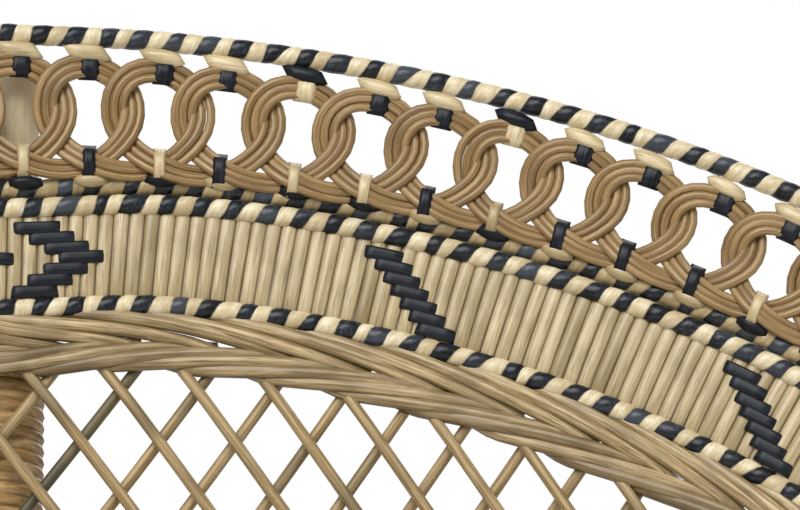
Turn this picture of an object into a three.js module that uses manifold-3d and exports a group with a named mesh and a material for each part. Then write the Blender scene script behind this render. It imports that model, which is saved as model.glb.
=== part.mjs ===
// A peacock chair of rattan poles, split canes and peel. Millimetres, +Z up, and the sitter faces -Y.
import * as THREE from "three";
import { mergeVertices } from "three/addons/utils/BufferGeometryUtils.js";
import Module from "manifold-3d";

const wasm = await Module();
wasm.setup();

const degrees = THREE.MathUtils.degToRad;
const lerp = THREE.MathUtils.lerp;

// Driving dimensions of the seat and the fan-shaped back
const seatLevel = 430; // centre line of the seat hoop above the floor
const seatRadius = 250; // centre line of the seat hoop
const fanHalfWidth = 560; // outer rim, at its widest
const fanLevel = 1180; // height of the widest place
const fanRise = 338; // from the widest place up to the crown
const fanBend = 1100; // bend of the fan seen from above
const leanAngle = degrees(12); // of the back's middle line
const frontAngle = degrees(112); // where the arms end, turned about the seat from the back's middle
const cornerRadius = 30; // of the outer rim at the front of an arm

// Diameters of the material
const hoopDiameter = 22;
const postDiameter = 26;
const rimDiameter = 8.6; // a rod wrapped with peel
const caneDiameter = 3.9; // three canes lie side by side in every ring
const stakeDiameter = 5;
const braidDiameter = 11;
const spineDiameter = 35;
const bindingWall = 3;
const baseStakeDiameter = 8;
const waistHoopDiameter = 12;
const seatBraidDiameter = 14;

// The bands of the back, measured from the outer rim's centre line inwards
const ringInset = 9.5;
const ringBandHeight = 54;
const ringWidth = 49;
const ringPitch = 31;
const ringSqueeze = 8; // how much lower the ring band is at the sides than at the crown
const squeezeReach = 60; // along the rim from the crown, to where half of that is reached
const slatLength = 35;
const slatThickness = 3;
const stakePitch = 35.5; // along the seat hoop, between stakes of one family
const stakeSlant = degrees(39); // from upright

// The seat and the base
const seatThickness = 10;
const seatEdgeRound = 4;
const floorHoopRadius = 242;
const baseTwist = degrees(84); // of each base stake, from floor hoop to seat hoop
const baseStakeCount = 24;
const postCircleRadius = 130;
const spineTopInset = 24; // the spine ends this far below the crown

// Fits and fineness
const clearance = 0.35; // between pieces that are bound together
const weaveClearance = 0.9; // between a band and what is tied to it
const latticeClearance = 1.8; // between the two families of stakes
const bandClearance = 0.45; // between bands that run side by side
const sink = 1; // how far a stake runs into the strand that it is worked into
const tolerance = 1.6; // how far a faceted line may lie off its curve
const fineStep = 6; // between the points that a curve is first worked out on
const insetStep = 4;
const tangentReach = 5; // fine points to each side that a line's direction is read from
const strandSides = 4;
const rimSides = 5;
const braidSides = 6;
const poleSides = 8;
const hoopSegments = 32;
const stakeSides = 3;
const ringSteps = 6; // in every turn of the ring band
const caneCount = 3;
const quarterSteps = 12; // of the rim's line: from the crown to the widest place
const sideSteps = 8; // and down the side
const outlineSteps = 2000;
const cornerSteps = 3;
const fallSteps = 3;
const ringSwayShare = 1.39; // how far a ring's line swings along the band, as a share of half its width
const uprightShare = 0.9; // a rod that rises by more than this share of its length counts as upright

// The side of the back narrows below its widest place: rounded at first, then straight
const sideRound = 230; // bend of the rounded stretch, seen from the front
const sideEndShare = 0.55; // of the way from the seat hoop up to the widest place
const sideEndTurn = degrees(63.8); // about the seat from the back's middle
// Then the rim sweeps forward as an arm: the turn about the seat in degrees, and the height as such a share
const armShares = [
  [75, 0.425],
  [84, 0.352],
  [97, 0.308],
  [112, 0.29],
];

const hoopRadius = hoopDiameter / 2;
const rimRadius = rimDiameter / 2;
const stakeRadius = stakeDiameter / 2;
const braidRadius = braidDiameter / 2;
const bindingRadius = spineDiameter / 2 + bindingWall;
const backRimInset = ringInset + ringBandHeight + weaveClearance + rimRadius;
const panelUpperInset = backRimInset + rimDiameter + bandClearance;
const slatInset = panelUpperInset + rimRadius + bandClearance;
const panelLowerInset = slatInset + slatLength + bandClearance + rimRadius;
const upperBraidInset = panelLowerInset + rimRadius + bandClearance + braidRadius;
const lowerBraidInset = upperBraidInset + braidDiameter + bandClearance;
const latticeInset = lowerBraidInset + braidRadius + bandClearance + stakeRadius;
const stakeOffset = stakeRadius + latticeClearance / 2;
const crownLevel = fanLevel + fanRise;

// The back's surface: a wall that stands on the seat hoop, leans back and opens out as it rises
function bendRadius(height) {
  const opening = THREE.MathUtils.smoothstep(height, seatLevel, fanLevel);
  return 1 / lerp(1 / seatRadius, 1 / fanBend, opening);
}

function surfacePoint(turn, height) {
  const bend = bendRadius(height);
  const middle = seatRadius + Math.tan(leanAngle) * (height - seatLevel);
  return new THREE.Vector3(bend * Math.sin(turn), middle - bend + bend * Math.cos(turn), height);
}

// The surface's own directions at a place: along a turn, up a height, and outwards
function surfaceFrame(turn, height) {
  const small = 0.001;
  const smallHeight = small * seatLevel;
  const along = surfacePoint(turn + small, height).sub(surfacePoint(turn - small, height));
  along.divideScalar(2 * small);
  const up = surfacePoint(turn, height + smallHeight).sub(surfacePoint(turn, height - smallHeight));
  up.divideScalar(2 * smallHeight);
  const outward = up.clone().cross(along).normalize();
  if (outward.dot(new THREE.Vector3(Math.sin(turn), Math.cos(turn), 0)) < 0) outward.negate();
  return { along, up, outward };
}

function placeOf(turn, height) {
  return { turn, height, point: surfacePoint(turn, height), outward: surfaceFrame(turn, height).outward };
}

// Step from a place by a distance in a direction, and stay on the surface
function stepOnSurface(place, direction, distance) {
  const { along, up } = surfaceFrame(place.turn, place.height);
  const aa = along.dot(along);
  const au = along.dot(up);
  const uu = up.dot(up);
  const da = direction.dot(along) * distance;
  const du = direction.dot(up) * distance;
  const scale = aa * uu - au * au;
  return placeOf(place.turn + (uu * da - au * du) / scale, place.height + (aa * du - au * da) / scale);
}

// The straight stretch has the one slope that joins the rounded one and ends at its turn about the seat
const sideEndLevel = lerp(seatLevel, fanLevel, sideEndShare);
const sideDrop = fanLevel - sideEndLevel;
const sideNarrowing = fanHalfWidth - bendRadius(sideEndLevel) * Math.sin(sideEndTurn);
const sideSlope = (sideDrop - Math.sqrt(sideDrop * sideDrop - 2 * sideRound * sideNarrowing)) / sideRound;

function sideHalfWidth(drop) {
  const roundDrop = Math.min(drop, sideRound * sideSlope);
  return fanHalfWidth - (roundDrop * roundDrop) / (2 * sideRound) - (drop - roundDrop) * sideSlope;
}

// The rim's line on the right half, from the crown to the front of the arm, in even fine steps
function rightOutline() {
  const control = [];
  for (let i = 0; i <= quarterSteps; i++) {
    const angle = (i / quarterSteps) * (Math.PI / 2);
    const turn = Math.asin((fanHalfWidth * Math.sin(angle)) / fanBend);
    control.push(new THREE.Vector3(turn, (fanLevel + fanRise * Math.cos(angle)) / fanLevel, 0));
  }
  for (let i = 1; i <= sideSteps; i++) {
    const height = lerp(fanLevel, sideEndLevel, i / sideSteps);
    const turn = Math.asin(sideHalfWidth(fanLevel - height) / bendRadius(height));
    control.push(new THREE.Vector3(turn, height / fanLevel, 0));
  }
  for (const [turn, share] of armShares) {
    control.push(new THREE.Vector3(degrees(turn), lerp(seatLevel, fanLevel, share) / fanLevel, 0));
  }
  const curve = new THREE.CatmullRomCurve3(control, false, "centripetal");
  const dense = curve.getPoints(outlineSteps).map((p) => placeOf(p.x, p.y * fanLevel));
  const outline = [dense[0]];
  let run = 0;
  for (let i = 1; i < dense.length; i++) {
    run += dense[i].point.distanceTo(dense[i - 1].point);
    if (run < fineStep) continue;
    outline.push(dense[i]);
    run = 0;
  }
  const frontGap = rimRadius + clearance;
  return outline.filter((place) => (frontAngle - place.turn) * bendRadius(place.height) >= frontGap);
}

// The numbers of the points that a faceted line needs to stay within the tolerance
function neededPoints(points, first = 0, last = points.length - 1) {
  const chord = new THREE.Line3(points[first], points[last]);
  const near = new THREE.Vector3();
  let worst = first;
  let worstDistance = 0;
  for (let i = first + 1; i < last; i++) {
    const distance = chord.closestPointToPoint(points[i], true, near).distanceTo(points[i]);
    if (distance > worstDistance) [worst, worstDistance] = [i, distance];
  }
  if (worstDistance <= tolerance) return [first, last];
  return [...neededPoints(points, first, worst).slice(0, -1), ...neededPoints(points, worst, last)];
}

// Lines at even insets from the outline. Each point sets off square to the outline and runs straight on over
// the surface
function insetGrid(outline, deepest) {
  const last = outline.length - 1;
  const step = deepest / Math.ceil(deepest / insetStep);
  const rows = [outline];
  let headings = outline.map((place, i) => {
    const reach = Math.max(Math.min(tangentReach, i, last - i), 1);
    const ahead = outline[Math.min(i + reach, last)].point;
    const behind = outline[Math.max(i - reach, 0)].point;
    const heading = place.outward.clone().cross(ahead.clone().sub(behind)).normalize();
    if (2 * i === last) heading.x = 0;
    return heading;
  });
  while (rows.length * step <= deepest + step) {
    const row = rows[rows.length - 1].map((place, i) => stepOnSurface(place, headings[i], step));
    headings = headings.map((heading, i) => heading.clone().projectOnPlane(row[i].outward).normalize());
    rows.push(row);
  }
  return { rows, step };
}

const half = rightOutline();
const mirrored = half.slice(1).reverse().map((place) => placeOf(-place.turn, place.height));
const wholeOutline = [...mirrored, ...half];
const grid = insetGrid(wholeOutline, latticeInset);
const halfNeeded = neededPoints(half.map((place) => place.point));
const crownIndex = half.length - 1;
const stations = [
  ...halfNeeded.slice(1).reverse().map((i) => crownIndex - i),
  ...halfNeeded.map((i) => crownIndex + i),
];

// The ring band is highest at the crown, and what lies below it follows. So a stated inset, which holds at the
// crown, is less at the sides
const outlineRuns = wholeOutline.map((place, i) => (i ? place.point.distanceTo(wholeOutline[i - 1].point) : 0));
const stationReaches = stations.map((i) => {
  const [from, to] = [Math.min(i, crownIndex), Math.max(i, crownIndex)];
  return outlineRuns.slice(from + 1, to + 1).reduce((sum, run) => sum + run, 0);
});

function squeezedInset(stationNumber, inset) {
  const reach = stationReaches[stationNumber];
  const squeeze = (ringSqueeze * reach * reach) / (reach * reach + squeezeReach * squeezeReach);
  return inset - squeeze * THREE.MathUtils.clamp((inset - ringInset) / ringBandHeight, 0, 1);
}

// Where a stated inset lies at a station
function stationPlace(stationNumber, inset) {
  const depth = squeezedInset(stationNumber, inset) / grid.step;
  const rowNumber = Math.min(Math.floor(depth), grid.rows.length - 2);
  const across = depth - rowNumber;
  const near = grid.rows[rowNumber][stations[stationNumber]];
  const far = grid.rows[rowNumber + 1][stations[stationNumber]];
  return {
    turn: lerp(near.turn, far.turn, across),
    height: lerp(near.height, far.height, across),
    point: near.point.clone().lerp(far.point, across),
    outward: near.outward.clone().lerp(far.outward, across),
  };
}

// A place in the back's bands: by inset and by station, on the facets between the stations
function bandPlace(stationNumber, inset, offset = 0) {
  const low = Math.min(Math.floor(stationNumber), stations.length - 2);
  const near = stationPlace(low, inset);
  const far = stationPlace(low + 1, inset);
  const outward = near.outward.lerp(far.outward, stationNumber - low).normalize();
  const point = near.point.lerp(far.point, stationNumber - low).addScaledVector(outward, offset);
  return { point, outward };
}

// A route through given points, with a section that keeps one side to a given direction
class Route extends THREE.Curve {
  constructor(places) {
    super();
    this.places = places;
  }

  getPoint(t) {
    const last = this.places.length - 1;
    return this.places[Math.round(t * last)].point.clone();
  }

  getPointAt(t) {
    return this.getPoint(t);
  }

  computeFrenetFrames(count) {
    const last = this.places.length - 1;
    const tangents = [];
    const normals = [];
    const binormals = [];
    for (let i = 0; i <= count; i++) {
      const ahead = this.places[Math.min(i + 1, last)].point;
      const behind = this.places[Math.max(i - 1, 0)].point;
      const tangent = ahead.clone().sub(behind).normalize();
      const binormal = tangent.clone().cross(this.places[i].outward).normalize();
      tangents.push(tangent);
      normals.push(binormal.clone().cross(tangent));
      binormals.push(binormal);
    }
    return { tangents, normals, binormals };
  }
}

function polygonSection(radius, sides) {
  const turn = Math.PI / sides;
  const corners = [];
  for (let i = 0; i < sides; i++) {
    const angle = turn + (i * 2 * Math.PI) / sides;
    corners.push(new THREE.Vector2(radius * Math.cos(angle), radius * Math.sin(angle)));
  }
  return new THREE.Shape(corners);
}

function flatSection(thickness, width) {
  const x = thickness / 2;
  const y = width / 2;
  const corners = [[-x, -y], [x, -y], [x, y], [-x, y]];
  return new THREE.Shape(corners.map((corner) => new THREE.Vector2(...corner)));
}

function sweep(section, places) {
  const options = { steps: places.length - 1, extrudePath: new Route(places), bevelEnabled: false };
  return new THREE.ExtrudeGeometry(section, options);
}

function rod(from, to, radius, sides) {
  const direction = to.clone().sub(from).normalize();
  const upright = Math.abs(direction.z) > uprightShare;
  const outward = upright ? new THREE.Vector3(0, 1, 0) : new THREE.Vector3(0, 0, 1);
  const places = [from, to].map((point) => ({ point, outward }));
  return sweep(polygonSection(radius / Math.cos(Math.PI / sides), sides), places);
}

// Joining closed solids
function toSolid(geometry) {
  const bare = geometry.clone();
  bare.deleteAttribute("normal");
  bare.deleteAttribute("uv");
  const merged = mergeVertices(bare, tolerance / 1000);
  return new wasm.Manifold(new wasm.Mesh({
    numProp: 3,
    vertProperties: new Float32Array(merged.attributes.position.array),
    triVerts: new Uint32Array(merged.index.array),
  }));
}

function joined(geometries) {
  const mesh = geometries.map(toSolid).reduce((whole, solid) => whole.add(solid)).getMesh();
  const geometry = new THREE.BufferGeometry();
  geometry.setAttribute("position", new THREE.BufferAttribute(new Float32Array(mesh.vertProperties), 3));
  geometry.setIndex(new THREE.BufferAttribute(new Uint32Array(mesh.triVerts), 1));
  geometry.computeVertexNormals();
  return geometry;
}

const chair = new THREE.Group();
const finishes = {
  striped: { color: 0x8c8064, roughness: 0.55 },
  cream: { color: 0xd8c28e, roughness: 0.6 },
  cane: { color: 0xb28f5f, roughness: 0.6 },
  stake: { color: 0xb39464, roughness: 0.65 },
  braid: { color: 0xb5996a, roughness: 0.65 },
  pole: { color: 0xc4a675, roughness: 0.55 },
};

function add(name, geometry, finish) {
  const mesh = new THREE.Mesh(geometry, new THREE.MeshStandardMaterial({ ...finishes[finish], metalness: 0 }));
  mesh.name = name;
  chair.add(mesh);
  return mesh;
}

// The wrapped rims, and the two strands of the braided border
function bandLine(inset, offset = 0) {
  return stations.map((_, number) => bandPlace(number, inset, offset));
}

function bandTube(inset, radius, sides, offset = 0) {
  return sweep(polygonSection(radius, sides), bandLine(inset, offset));
}

// The outer rim turns down at the front of each arm and stands on the seat hoop
function outerRimPlaces() {
  const line = bandLine(0);
  const footHeight = seatLevel + hoopRadius + clearance + rimRadius * Math.sin(leanAngle);
  const last = half[half.length - 1];
  const armHeight = last.height;
  const front = [];
  for (let i = 1; i <= cornerSteps; i++) {
    const angle = (i / cornerSteps) * (Math.PI / 2);
    const height = armHeight - cornerRadius * (1 - Math.cos(angle));
    const back = cornerRadius * (1 - Math.sin(angle));
    front.push(placeOf(frontAngle - back / bendRadius(height), height));
  }
  for (let i = 1; i <= fallSteps; i++) {
    front.push(placeOf(frontAngle, lerp(armHeight - cornerRadius, footHeight, i / fallSteps)));
  }
  const cornerStart = frontAngle - cornerRadius / bendRadius(armHeight);
  const mirroredFront = front.map((place) => placeOf(-place.turn, place.height)).reverse();
  const kept = line.filter((_, number) => Math.abs(wholeOutline[stations[number]].turn) < cornerStart);
  return [...mirroredFront, ...kept, ...front];
}

// Distances along the ring band's middle line, for spacing its turns
const ringMiddleInset = ringInset + ringBandHeight / 2;
const middleLine = bandLine(ringMiddleInset).map((place) => place.point);
const middleRuns = middleLine.map((point, i) => (i ? point.distanceTo(middleLine[i - 1]) : 0));
const middleLength = middleRuns.reduce((sum, run) => sum + run, 0);
const bundleWidth = caneCount * caneDiameter;
const ringEndMargin = (ringWidth - ringPitch) / 2 + clearance;
const ringCount = Math.floor((middleLength - 2 * ringEndMargin) / ringPitch);
const ringSpacing = (middleLength - 2 * ringEndMargin) / ringCount;

function stationAt(distance) {
  let left = distance;
  for (let i = 1; i < middleRuns.length; i++) {
    if (left <= middleRuns[i]) return i - 1 + left / middleRuns[i];
    left -= middleRuns[i];
  }
  return middleRuns.length - 1;
}

// One long bundle of three canes loops forward slower than it turns. Its falling side lies in front of its
// rising side, so no turn meets itself or its neighbour
function ringPlaces() {
  const swing = (ringWidth - bundleWidth) / 2;
  const wave = swing * ringSwayShare;
  const rise = (ringBandHeight - bundleWidth) / 2;
  const layer = (caneDiameter + clearance) / 2;
  const places = [];
  for (let i = 0; i <= ringCount * ringSteps; i++) {
    const phase = (i / ringSteps) * 2 * Math.PI;
    const distance = ringEndMargin + (ringSpacing * i) / ringSteps + wave * Math.sin(phase);
    const station = stationAt(THREE.MathUtils.clamp(distance, 0, middleLength));
    const inset = ringMiddleInset + rise * Math.cos(phase);
    places.push(bandPlace(station, inset, layer * THREE.MathUtils.clamp(2 * Math.sin(phase), -1, 1)));
  }
  return places;
}

const outerRim = sweep(polygonSection(rimRadius, rimSides), outerRimPlaces());
add("outer_rim", outerRim, "striped");
add("ring_band", sweep(flatSection(caneDiameter, bundleWidth), ringPlaces()), "cane");
add("back_rim", bandTube(backRimInset, rimRadius, rimSides), "striped");
add("panel_upper_rim", bandTube(panelUpperInset, rimRadius, rimSides), "striped");
add("slat_panel", sweep(flatSection(slatThickness, slatLength), bandLine(slatInset + slatLength / 2)), "cream");
add("panel_lower_rim", bandTube(panelLowerInset, rimRadius, rimSides), "striped");
add("border_braid_upper", bandTube(upperBraidInset, braidRadius, rimSides), "braid");
add("border_braid_lower", bandTube(lowerBraidInset, braidRadius, rimSides), "braid");

// The lattice: two families of slanting stakes that stand on the seat hoop. Each family is worked into a strand
// of its own along the border
const footLevel = seatLevel + hoopRadius + clearance + stakeRadius;

function latticeBoundary() {
  const border = stations.map((_, number) => {
    const { turn, height } = stationPlace(number, latticeInset);
    return new THREE.Vector2(turn * bendRadius(height), height);
  });
  const footEdge = frontAngle * seatRadius;
  const left = new THREE.Vector2(Math.max(-footEdge, border[0].x), footLevel);
  const right = new THREE.Vector2(Math.min(footEdge, border[border.length - 1].x), footLevel);
  return [...border, right, left];
}

// Where a slanting line crosses the boundary, and whether it meets the border there
function crossings(boundary, footAlong, slope) {
  const found = [];
  for (let i = 0; i < boundary.length; i++) {
    const a = boundary[i];
    const b = boundary[(i + 1) % boundary.length];
    const sideA = a.x - footAlong - slope * (a.y - footLevel);
    const sideB = b.x - footAlong - slope * (b.y - footLevel);
    if (sideA > 0 === sideB > 0) continue;
    found.push({ height: lerp(a.y, b.y, sideA / (sideA - sideB)), border: i < boundary.length - 3 });
  }
  return found.sort((low, high) => low.height - high.height);
}

function stakePlaces(footAlong, slope, from, to, offset) {
  const count = Math.ceil((to - from) / fineStep);
  const places = [];
  for (let i = 0; i <= count; i++) {
    const height = lerp(from, to, i / count);
    const place = placeOf((footAlong + slope * (height - footLevel)) / bendRadius(height), height);
    place.point.addScaledVector(place.outward, offset);
    places.push(place);
  }
  return neededPoints(places.map((place) => place.point)).map((i) => places[i]);
}

function latticePiece(direction) {
  const boundary = latticeBoundary();
  const offset = direction * stakeOffset;
  const slope = direction * Math.tan(stakeSlant);
  const strandCorner = stakeRadius / Math.cos(Math.PI / strandSides);
  const solids = [bandTube(latticeInset, strandCorner, strandSides, offset)];
  const section = polygonSection(stakeRadius, stakeSides);
  const reach = Math.tan(stakeSlant) * (crownLevel - seatLevel) + frontAngle * seatRadius;
  const count = Math.floor(reach / stakePitch);
  for (let i = -count; i <= count; i++) {
    const footAlong = (i + 1 / 2) * stakePitch;
    const found = crossings(boundary, footAlong, slope);
    for (let k = 0; k + 1 < found.length; k += 2) {
      const [low, high] = [found[k], found[k + 1]];
      if (!(low.border || high.border) || high.height - low.height < stakePitch) continue;
      const from = low.height - (low.border ? sink : 0);
      const to = high.height + (high.border ? sink : 0);
      solids.push(sweep(section, stakePlaces(footAlong, slope, from, to, offset)));
    }
  }
  return joined(solids);
}

// Seen from the sitter's side, the stakes that fall to the right lie in front
add("lattice_front", latticePiece(-1), "stake");
add("lattice_back", latticePiece(1), "stake");

// The spine pole stands on the floor against the seat's braid, and leans back along the lattice
const baseStakeRadius = baseStakeDiameter / 2;
const seatBraidRadius = seatBraidDiameter / 2;
const baseOffset = (baseStakeRadius + weaveClearance / 2) / Math.cos(baseTwist / 2);
const braidGap = baseOffset + baseStakeRadius + clearance + seatBraidRadius;
const seatBraidRing = (seatRadius + braidGap) / Math.cos(Math.PI / hoopSegments);
const poleFacet = Math.cos(Math.PI / poleSides);
const spineRadius = spineDiameter / 2;
const spineY = seatBraidRing + seatBraidRadius + clearance + spineRadius;
const spineOffset = (stakeOffset + stakeRadius + clearance + bindingRadius) / Math.cos(leanAngle);
const kneeLevel = seatLevel + (spineY - seatRadius - spineOffset) / Math.tan(leanAngle);

function spinePoint(level) {
  return new THREE.Vector3(0, spineY + Math.tan(leanAngle) * Math.max(level - kneeLevel, 0), level);
}

function spineSweep(section, levels) {
  const outward = new THREE.Vector3(1, 0, 0);
  return sweep(section, levels.map((level) => ({ point: spinePoint(level), outward })));
}

const spineTopLevel = crownLevel - spineTopInset * Math.cos(leanAngle);
const bindingTopLevel = crownLevel - panelLowerInset * Math.cos(leanAngle);
const spineSection = polygonSection(spineRadius / poleFacet, poleSides);
add("spine_pole", spineSweep(spineSection, [0, kneeLevel, spineTopLevel]), "pole");

const bindingSection = polygonSection(bindingRadius / poleFacet, poleSides);
bindingSection.holes.push(polygonSection((spineRadius + clearance) / poleFacet, poleSides));
add("spine_binding", spineSweep(bindingSection, [kneeLevel + hoopDiameter, bindingTopLevel]), "cane");

// Hoops are turned from an eight-sided section that lies flat
function hoop(radius, tubeRadius, level, sides = poleSides, segments = hoopSegments) {
  const corner = tubeRadius / Math.cos(Math.PI / sides);
  const profile = [];
  for (let i = 0; i <= sides; i++) {
    const angle = Math.PI / sides - (i * 2 * Math.PI) / sides;
    profile.push(new THREE.Vector2(radius + corner * Math.cos(angle), corner * Math.sin(angle)));
  }
  profile[sides].copy(profile[0]);
  const geometry = new THREE.LatheGeometry(profile.reverse(), segments);
  geometry.rotateX(Math.PI / 2);
  geometry.translate(0, 0, level);
  return geometry;
}

// A bar along X between a hoop's sides, and two more that meet it from the front and the rear
function addBars(name, ringRadius, level) {
  const reach = (ringRadius - hoopRadius) * Math.cos(Math.PI / hoopSegments) - clearance;
  const left = new THREE.Vector3(-reach, 0, level);
  const right = new THREE.Vector3(reach, 0, level);
  add(`${name}_bar_cross`, rod(left, right, hoopRadius, poleSides), "pole");
  for (const [side, sign] of [["front", -1], ["rear", 1]]) {
    const inner = new THREE.Vector3(0, sign * (hoopRadius + clearance), level);
    const outer = new THREE.Vector3(0, sign * reach, level);
    add(`${name}_bar_${side}`, rod(inner, outer, hoopRadius, poleSides), "pole");
  }
}

add("seat_hoop", hoop(seatRadius, hoopRadius, seatLevel), "pole");
addBars("seat", seatRadius, seatLevel);

// The woven seat lies on the bars, inside the stakes
const seatDiscRadius = seatRadius - stakeOffset - stakeDiameter - clearance;
const seatUnderside = seatLevel + hoopRadius + clearance;
const seatProfile = [
  [0, 0],
  [seatDiscRadius - seatEdgeRound, 0],
  [seatDiscRadius, seatEdgeRound],
  [seatDiscRadius, seatThickness - seatEdgeRound],
  [seatDiscRadius - seatEdgeRound, seatThickness],
  [0, seatThickness],
].map((corner) => new THREE.Vector2(...corner));
const seatGeometry = new THREE.LatheGeometry(seatProfile, hoopSegments);
seatGeometry.rotateX(Math.PI / 2);
add("seat_weave", seatGeometry, "cream").position.z = seatUnderside;

// The base: two families of straight stakes twisted opposite ways, bound round the waist
const baseTopLevel = seatLevel - hoopRadius - clearance - baseStakeRadius;
const baseFootLevel = hoopDiameter + clearance + baseStakeRadius;

function baseFamily(side) {
  const topRadius = seatRadius + side * baseOffset;
  const footRadius = floorHoopRadius + side * baseOffset;
  const solids = [
    hoop(topRadius, baseStakeRadius, baseTopLevel, strandSides, baseStakeCount),
    hoop(footRadius, baseStakeRadius, baseFootLevel, strandSides, baseStakeCount),
  ];
  for (let i = 0; i < baseStakeCount; i++) {
    const start = (i * 2 * Math.PI) / baseStakeCount;
    const end = start + side * baseTwist;
    const foot = new THREE.Vector3(footRadius * Math.cos(start), footRadius * Math.sin(start), baseFootLevel);
    const top = new THREE.Vector3(topRadius * Math.cos(end), topRadius * Math.sin(end), baseTopLevel);
    solids.push(rod(foot, top, baseStakeRadius * Math.cos(Math.PI / strandSides), strandSides));
  }
  return joined(solids);
}

add("base_stakes_outer", baseFamily(1), "stake");
add("base_stakes_inner", baseFamily(-1), "stake");

// The waist is where a straight stake comes nearest the middle
function waistOf(side) {
  const top = seatRadius + side * baseOffset;
  const foot = floorHoopRadius + side * baseOffset;
  const share = (foot * foot - foot * top * Math.cos(baseTwist))
    / (top * top + foot * foot - 2 * top * foot * Math.cos(baseTwist));
  const x = lerp(foot, top * Math.cos(baseTwist), share);
  const y = share * top * Math.sin(baseTwist);
  return { radius: Math.hypot(x, y), level: lerp(baseFootLevel, baseTopLevel, share) };
}

const waistHoopRadius = waistHoopDiameter / 2;
const stakeFace = baseStakeRadius * Math.cos(Math.PI / strandSides);
for (const [name, side] of [["outer", 1], ["inner", -1]]) {
  const waist = waistOf(side);
  const facet = side > 0 ? Math.cos(Math.PI / hoopSegments) : 1;
  const seated = (waist.radius + side * (stakeFace + weaveClearance / 2 + waistHoopRadius)) / facet;
  add(`waist_hoop_${name}`, hoop(seated, waistHoopRadius, waist.level, braidSides), "braid");
}

// Braided borders cover the stakes' ends under the seat and at the foot
const footBraidRing = (floorHoopRadius + braidGap) / Math.cos(Math.PI / hoopSegments);
add("seat_braid", hoop(seatBraidRing, seatBraidRadius, baseTopLevel, braidSides), "braid");
add("foot_braid", hoop(footBraidRing, seatBraidRadius, baseFootLevel, braidSides), "braid");

add("floor_hoop", hoop(floorHoopRadius, hoopRadius, hoopRadius), "pole");
addBars("floor", floorHoopRadius, hoopRadius);

// Four posts carry the seat bars on the floor bars
const postFoot = hoopDiameter + clearance;
const postTop = seatLevel - hoopRadius - clearance;
const postPlaces = { left: [-1, 0], right: [1, 0], front: [0, -1], rear: [0, 1] };
for (const [side, [x, y]] of Object.entries(postPlaces)) {
  const foot = new THREE.Vector3(x * postCircleRadius, y * postCircleRadius, postFoot);
  const top = foot.clone().setZ(postTop);
  add(`leg_post_${side}`, rod(foot, top, postDiameter / 2, poleSides), "pole");
}

// The chair's origin is on the floor, under the middle of its box
const box = new THREE.Box3().setFromObject(chair, true);
chair.position.y = -(box.min.y + box.max.y) / 2;
const part = new THREE.Group();
part.add(chair);

export default part;
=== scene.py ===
# %% [markdown]
# # A peacock chair of rattan pole, cane and peel
# The photograph shows the upper right part of a woven fan back from close by: a rim wound with peel in two
# colours, a row of linked rings, a panel of flat slats, a plaited border and an open lattice. The solids of
# the whole chair come packed as a fixed frame, in metres. This lesson dresses them one by one. Here the
# frame is loaded, and its box is kept, because the finished model has to stay inside it.

import functools
import math

import bpy
import numpy as np
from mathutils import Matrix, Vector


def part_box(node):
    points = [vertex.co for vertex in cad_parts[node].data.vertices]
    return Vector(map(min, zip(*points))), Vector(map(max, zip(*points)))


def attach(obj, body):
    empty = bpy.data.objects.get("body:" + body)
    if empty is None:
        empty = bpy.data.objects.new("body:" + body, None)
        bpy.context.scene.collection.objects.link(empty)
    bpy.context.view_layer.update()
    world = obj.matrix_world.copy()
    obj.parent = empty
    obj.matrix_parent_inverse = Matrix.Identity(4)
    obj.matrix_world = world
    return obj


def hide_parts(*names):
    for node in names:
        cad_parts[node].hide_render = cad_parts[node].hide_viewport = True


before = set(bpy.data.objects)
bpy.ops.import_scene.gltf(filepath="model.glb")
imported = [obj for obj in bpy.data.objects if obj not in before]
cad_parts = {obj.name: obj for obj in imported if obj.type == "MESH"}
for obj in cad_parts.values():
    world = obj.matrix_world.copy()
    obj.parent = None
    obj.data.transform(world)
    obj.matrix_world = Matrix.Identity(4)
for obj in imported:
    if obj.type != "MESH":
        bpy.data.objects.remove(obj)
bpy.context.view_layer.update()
mm = 0.001

# %% [markdown]
# ## Sizes
# Every piece of the back lies in a band at its own distance from the rim, so the sizes are written once, in
# millimetres, as a weaver would measure them. They repeat the solids' own values. The chair stands with the
# seat's middle a little in front of the box's middle.

# %% Sizes of the chair
SEAT_LEVEL, SEAT_RADIUS = 430.0, 250.0
FAN_HALF_WIDTH, FAN_LEVEL, FAN_RISE, FAN_BEND = 560.0, 1180.0, 338.0, 1100.0
CROWN_LEVEL = FAN_LEVEL + FAN_RISE
LEAN = math.radians(12)
FRONT_ANGLE = math.radians(112)
CORNER_RADIUS = 30.0
SIDE_ROUND, SIDE_END_SHARE, SIDE_END_TURN = 230.0, 0.55, math.radians(63.8)
ARM_SHARES = [(75, 0.425), (84, 0.352), (97, 0.308), (112, 0.29)]

HOOP_RADIUS, RIM_RADIUS, STAKE_RADIUS, SPINE_RADIUS = 11.0, 4.3, 2.5, 17.5
CLEARANCE = 0.35

RING_INSET, RING_HEIGHT, RING_WIDTH, RING_PITCH = 9.5, 54.0, 49.0, 31.0
RING_SQUEEZE, SQUEEZE_REACH = 8.0, 60.0
BACK_RIM_INSET = 68.7
PANEL_UPPER_INSET = 77.75
SLAT_TOP, SLAT_LENGTH = 82.5, 35.0
PANEL_LOWER_INSET = 122.25
STAKE_OFFSET = 3.4
SEAT_MIDDLE_Y = -122.527
print("crown", CROWN_LEVEL, "mm above the floor")

# %% [markdown]
# ## The back's surface
# The back is one bent wall. At the seat it follows the seat's hoop, and higher up it leans back and opens
# out into the fan. Two numbers name a place on it: a turn about the seat, and a height. Modelling it as a
# surface in code, rather than by hand, means that each band can be laid on it exactly.

# %% Points of the bent wall


def eased_share(share):
    """A share from zero to one that starts and stops gently."""
    share = np.clip(share, 0, 1)
    return share * share * (3 - 2 * share)


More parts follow.
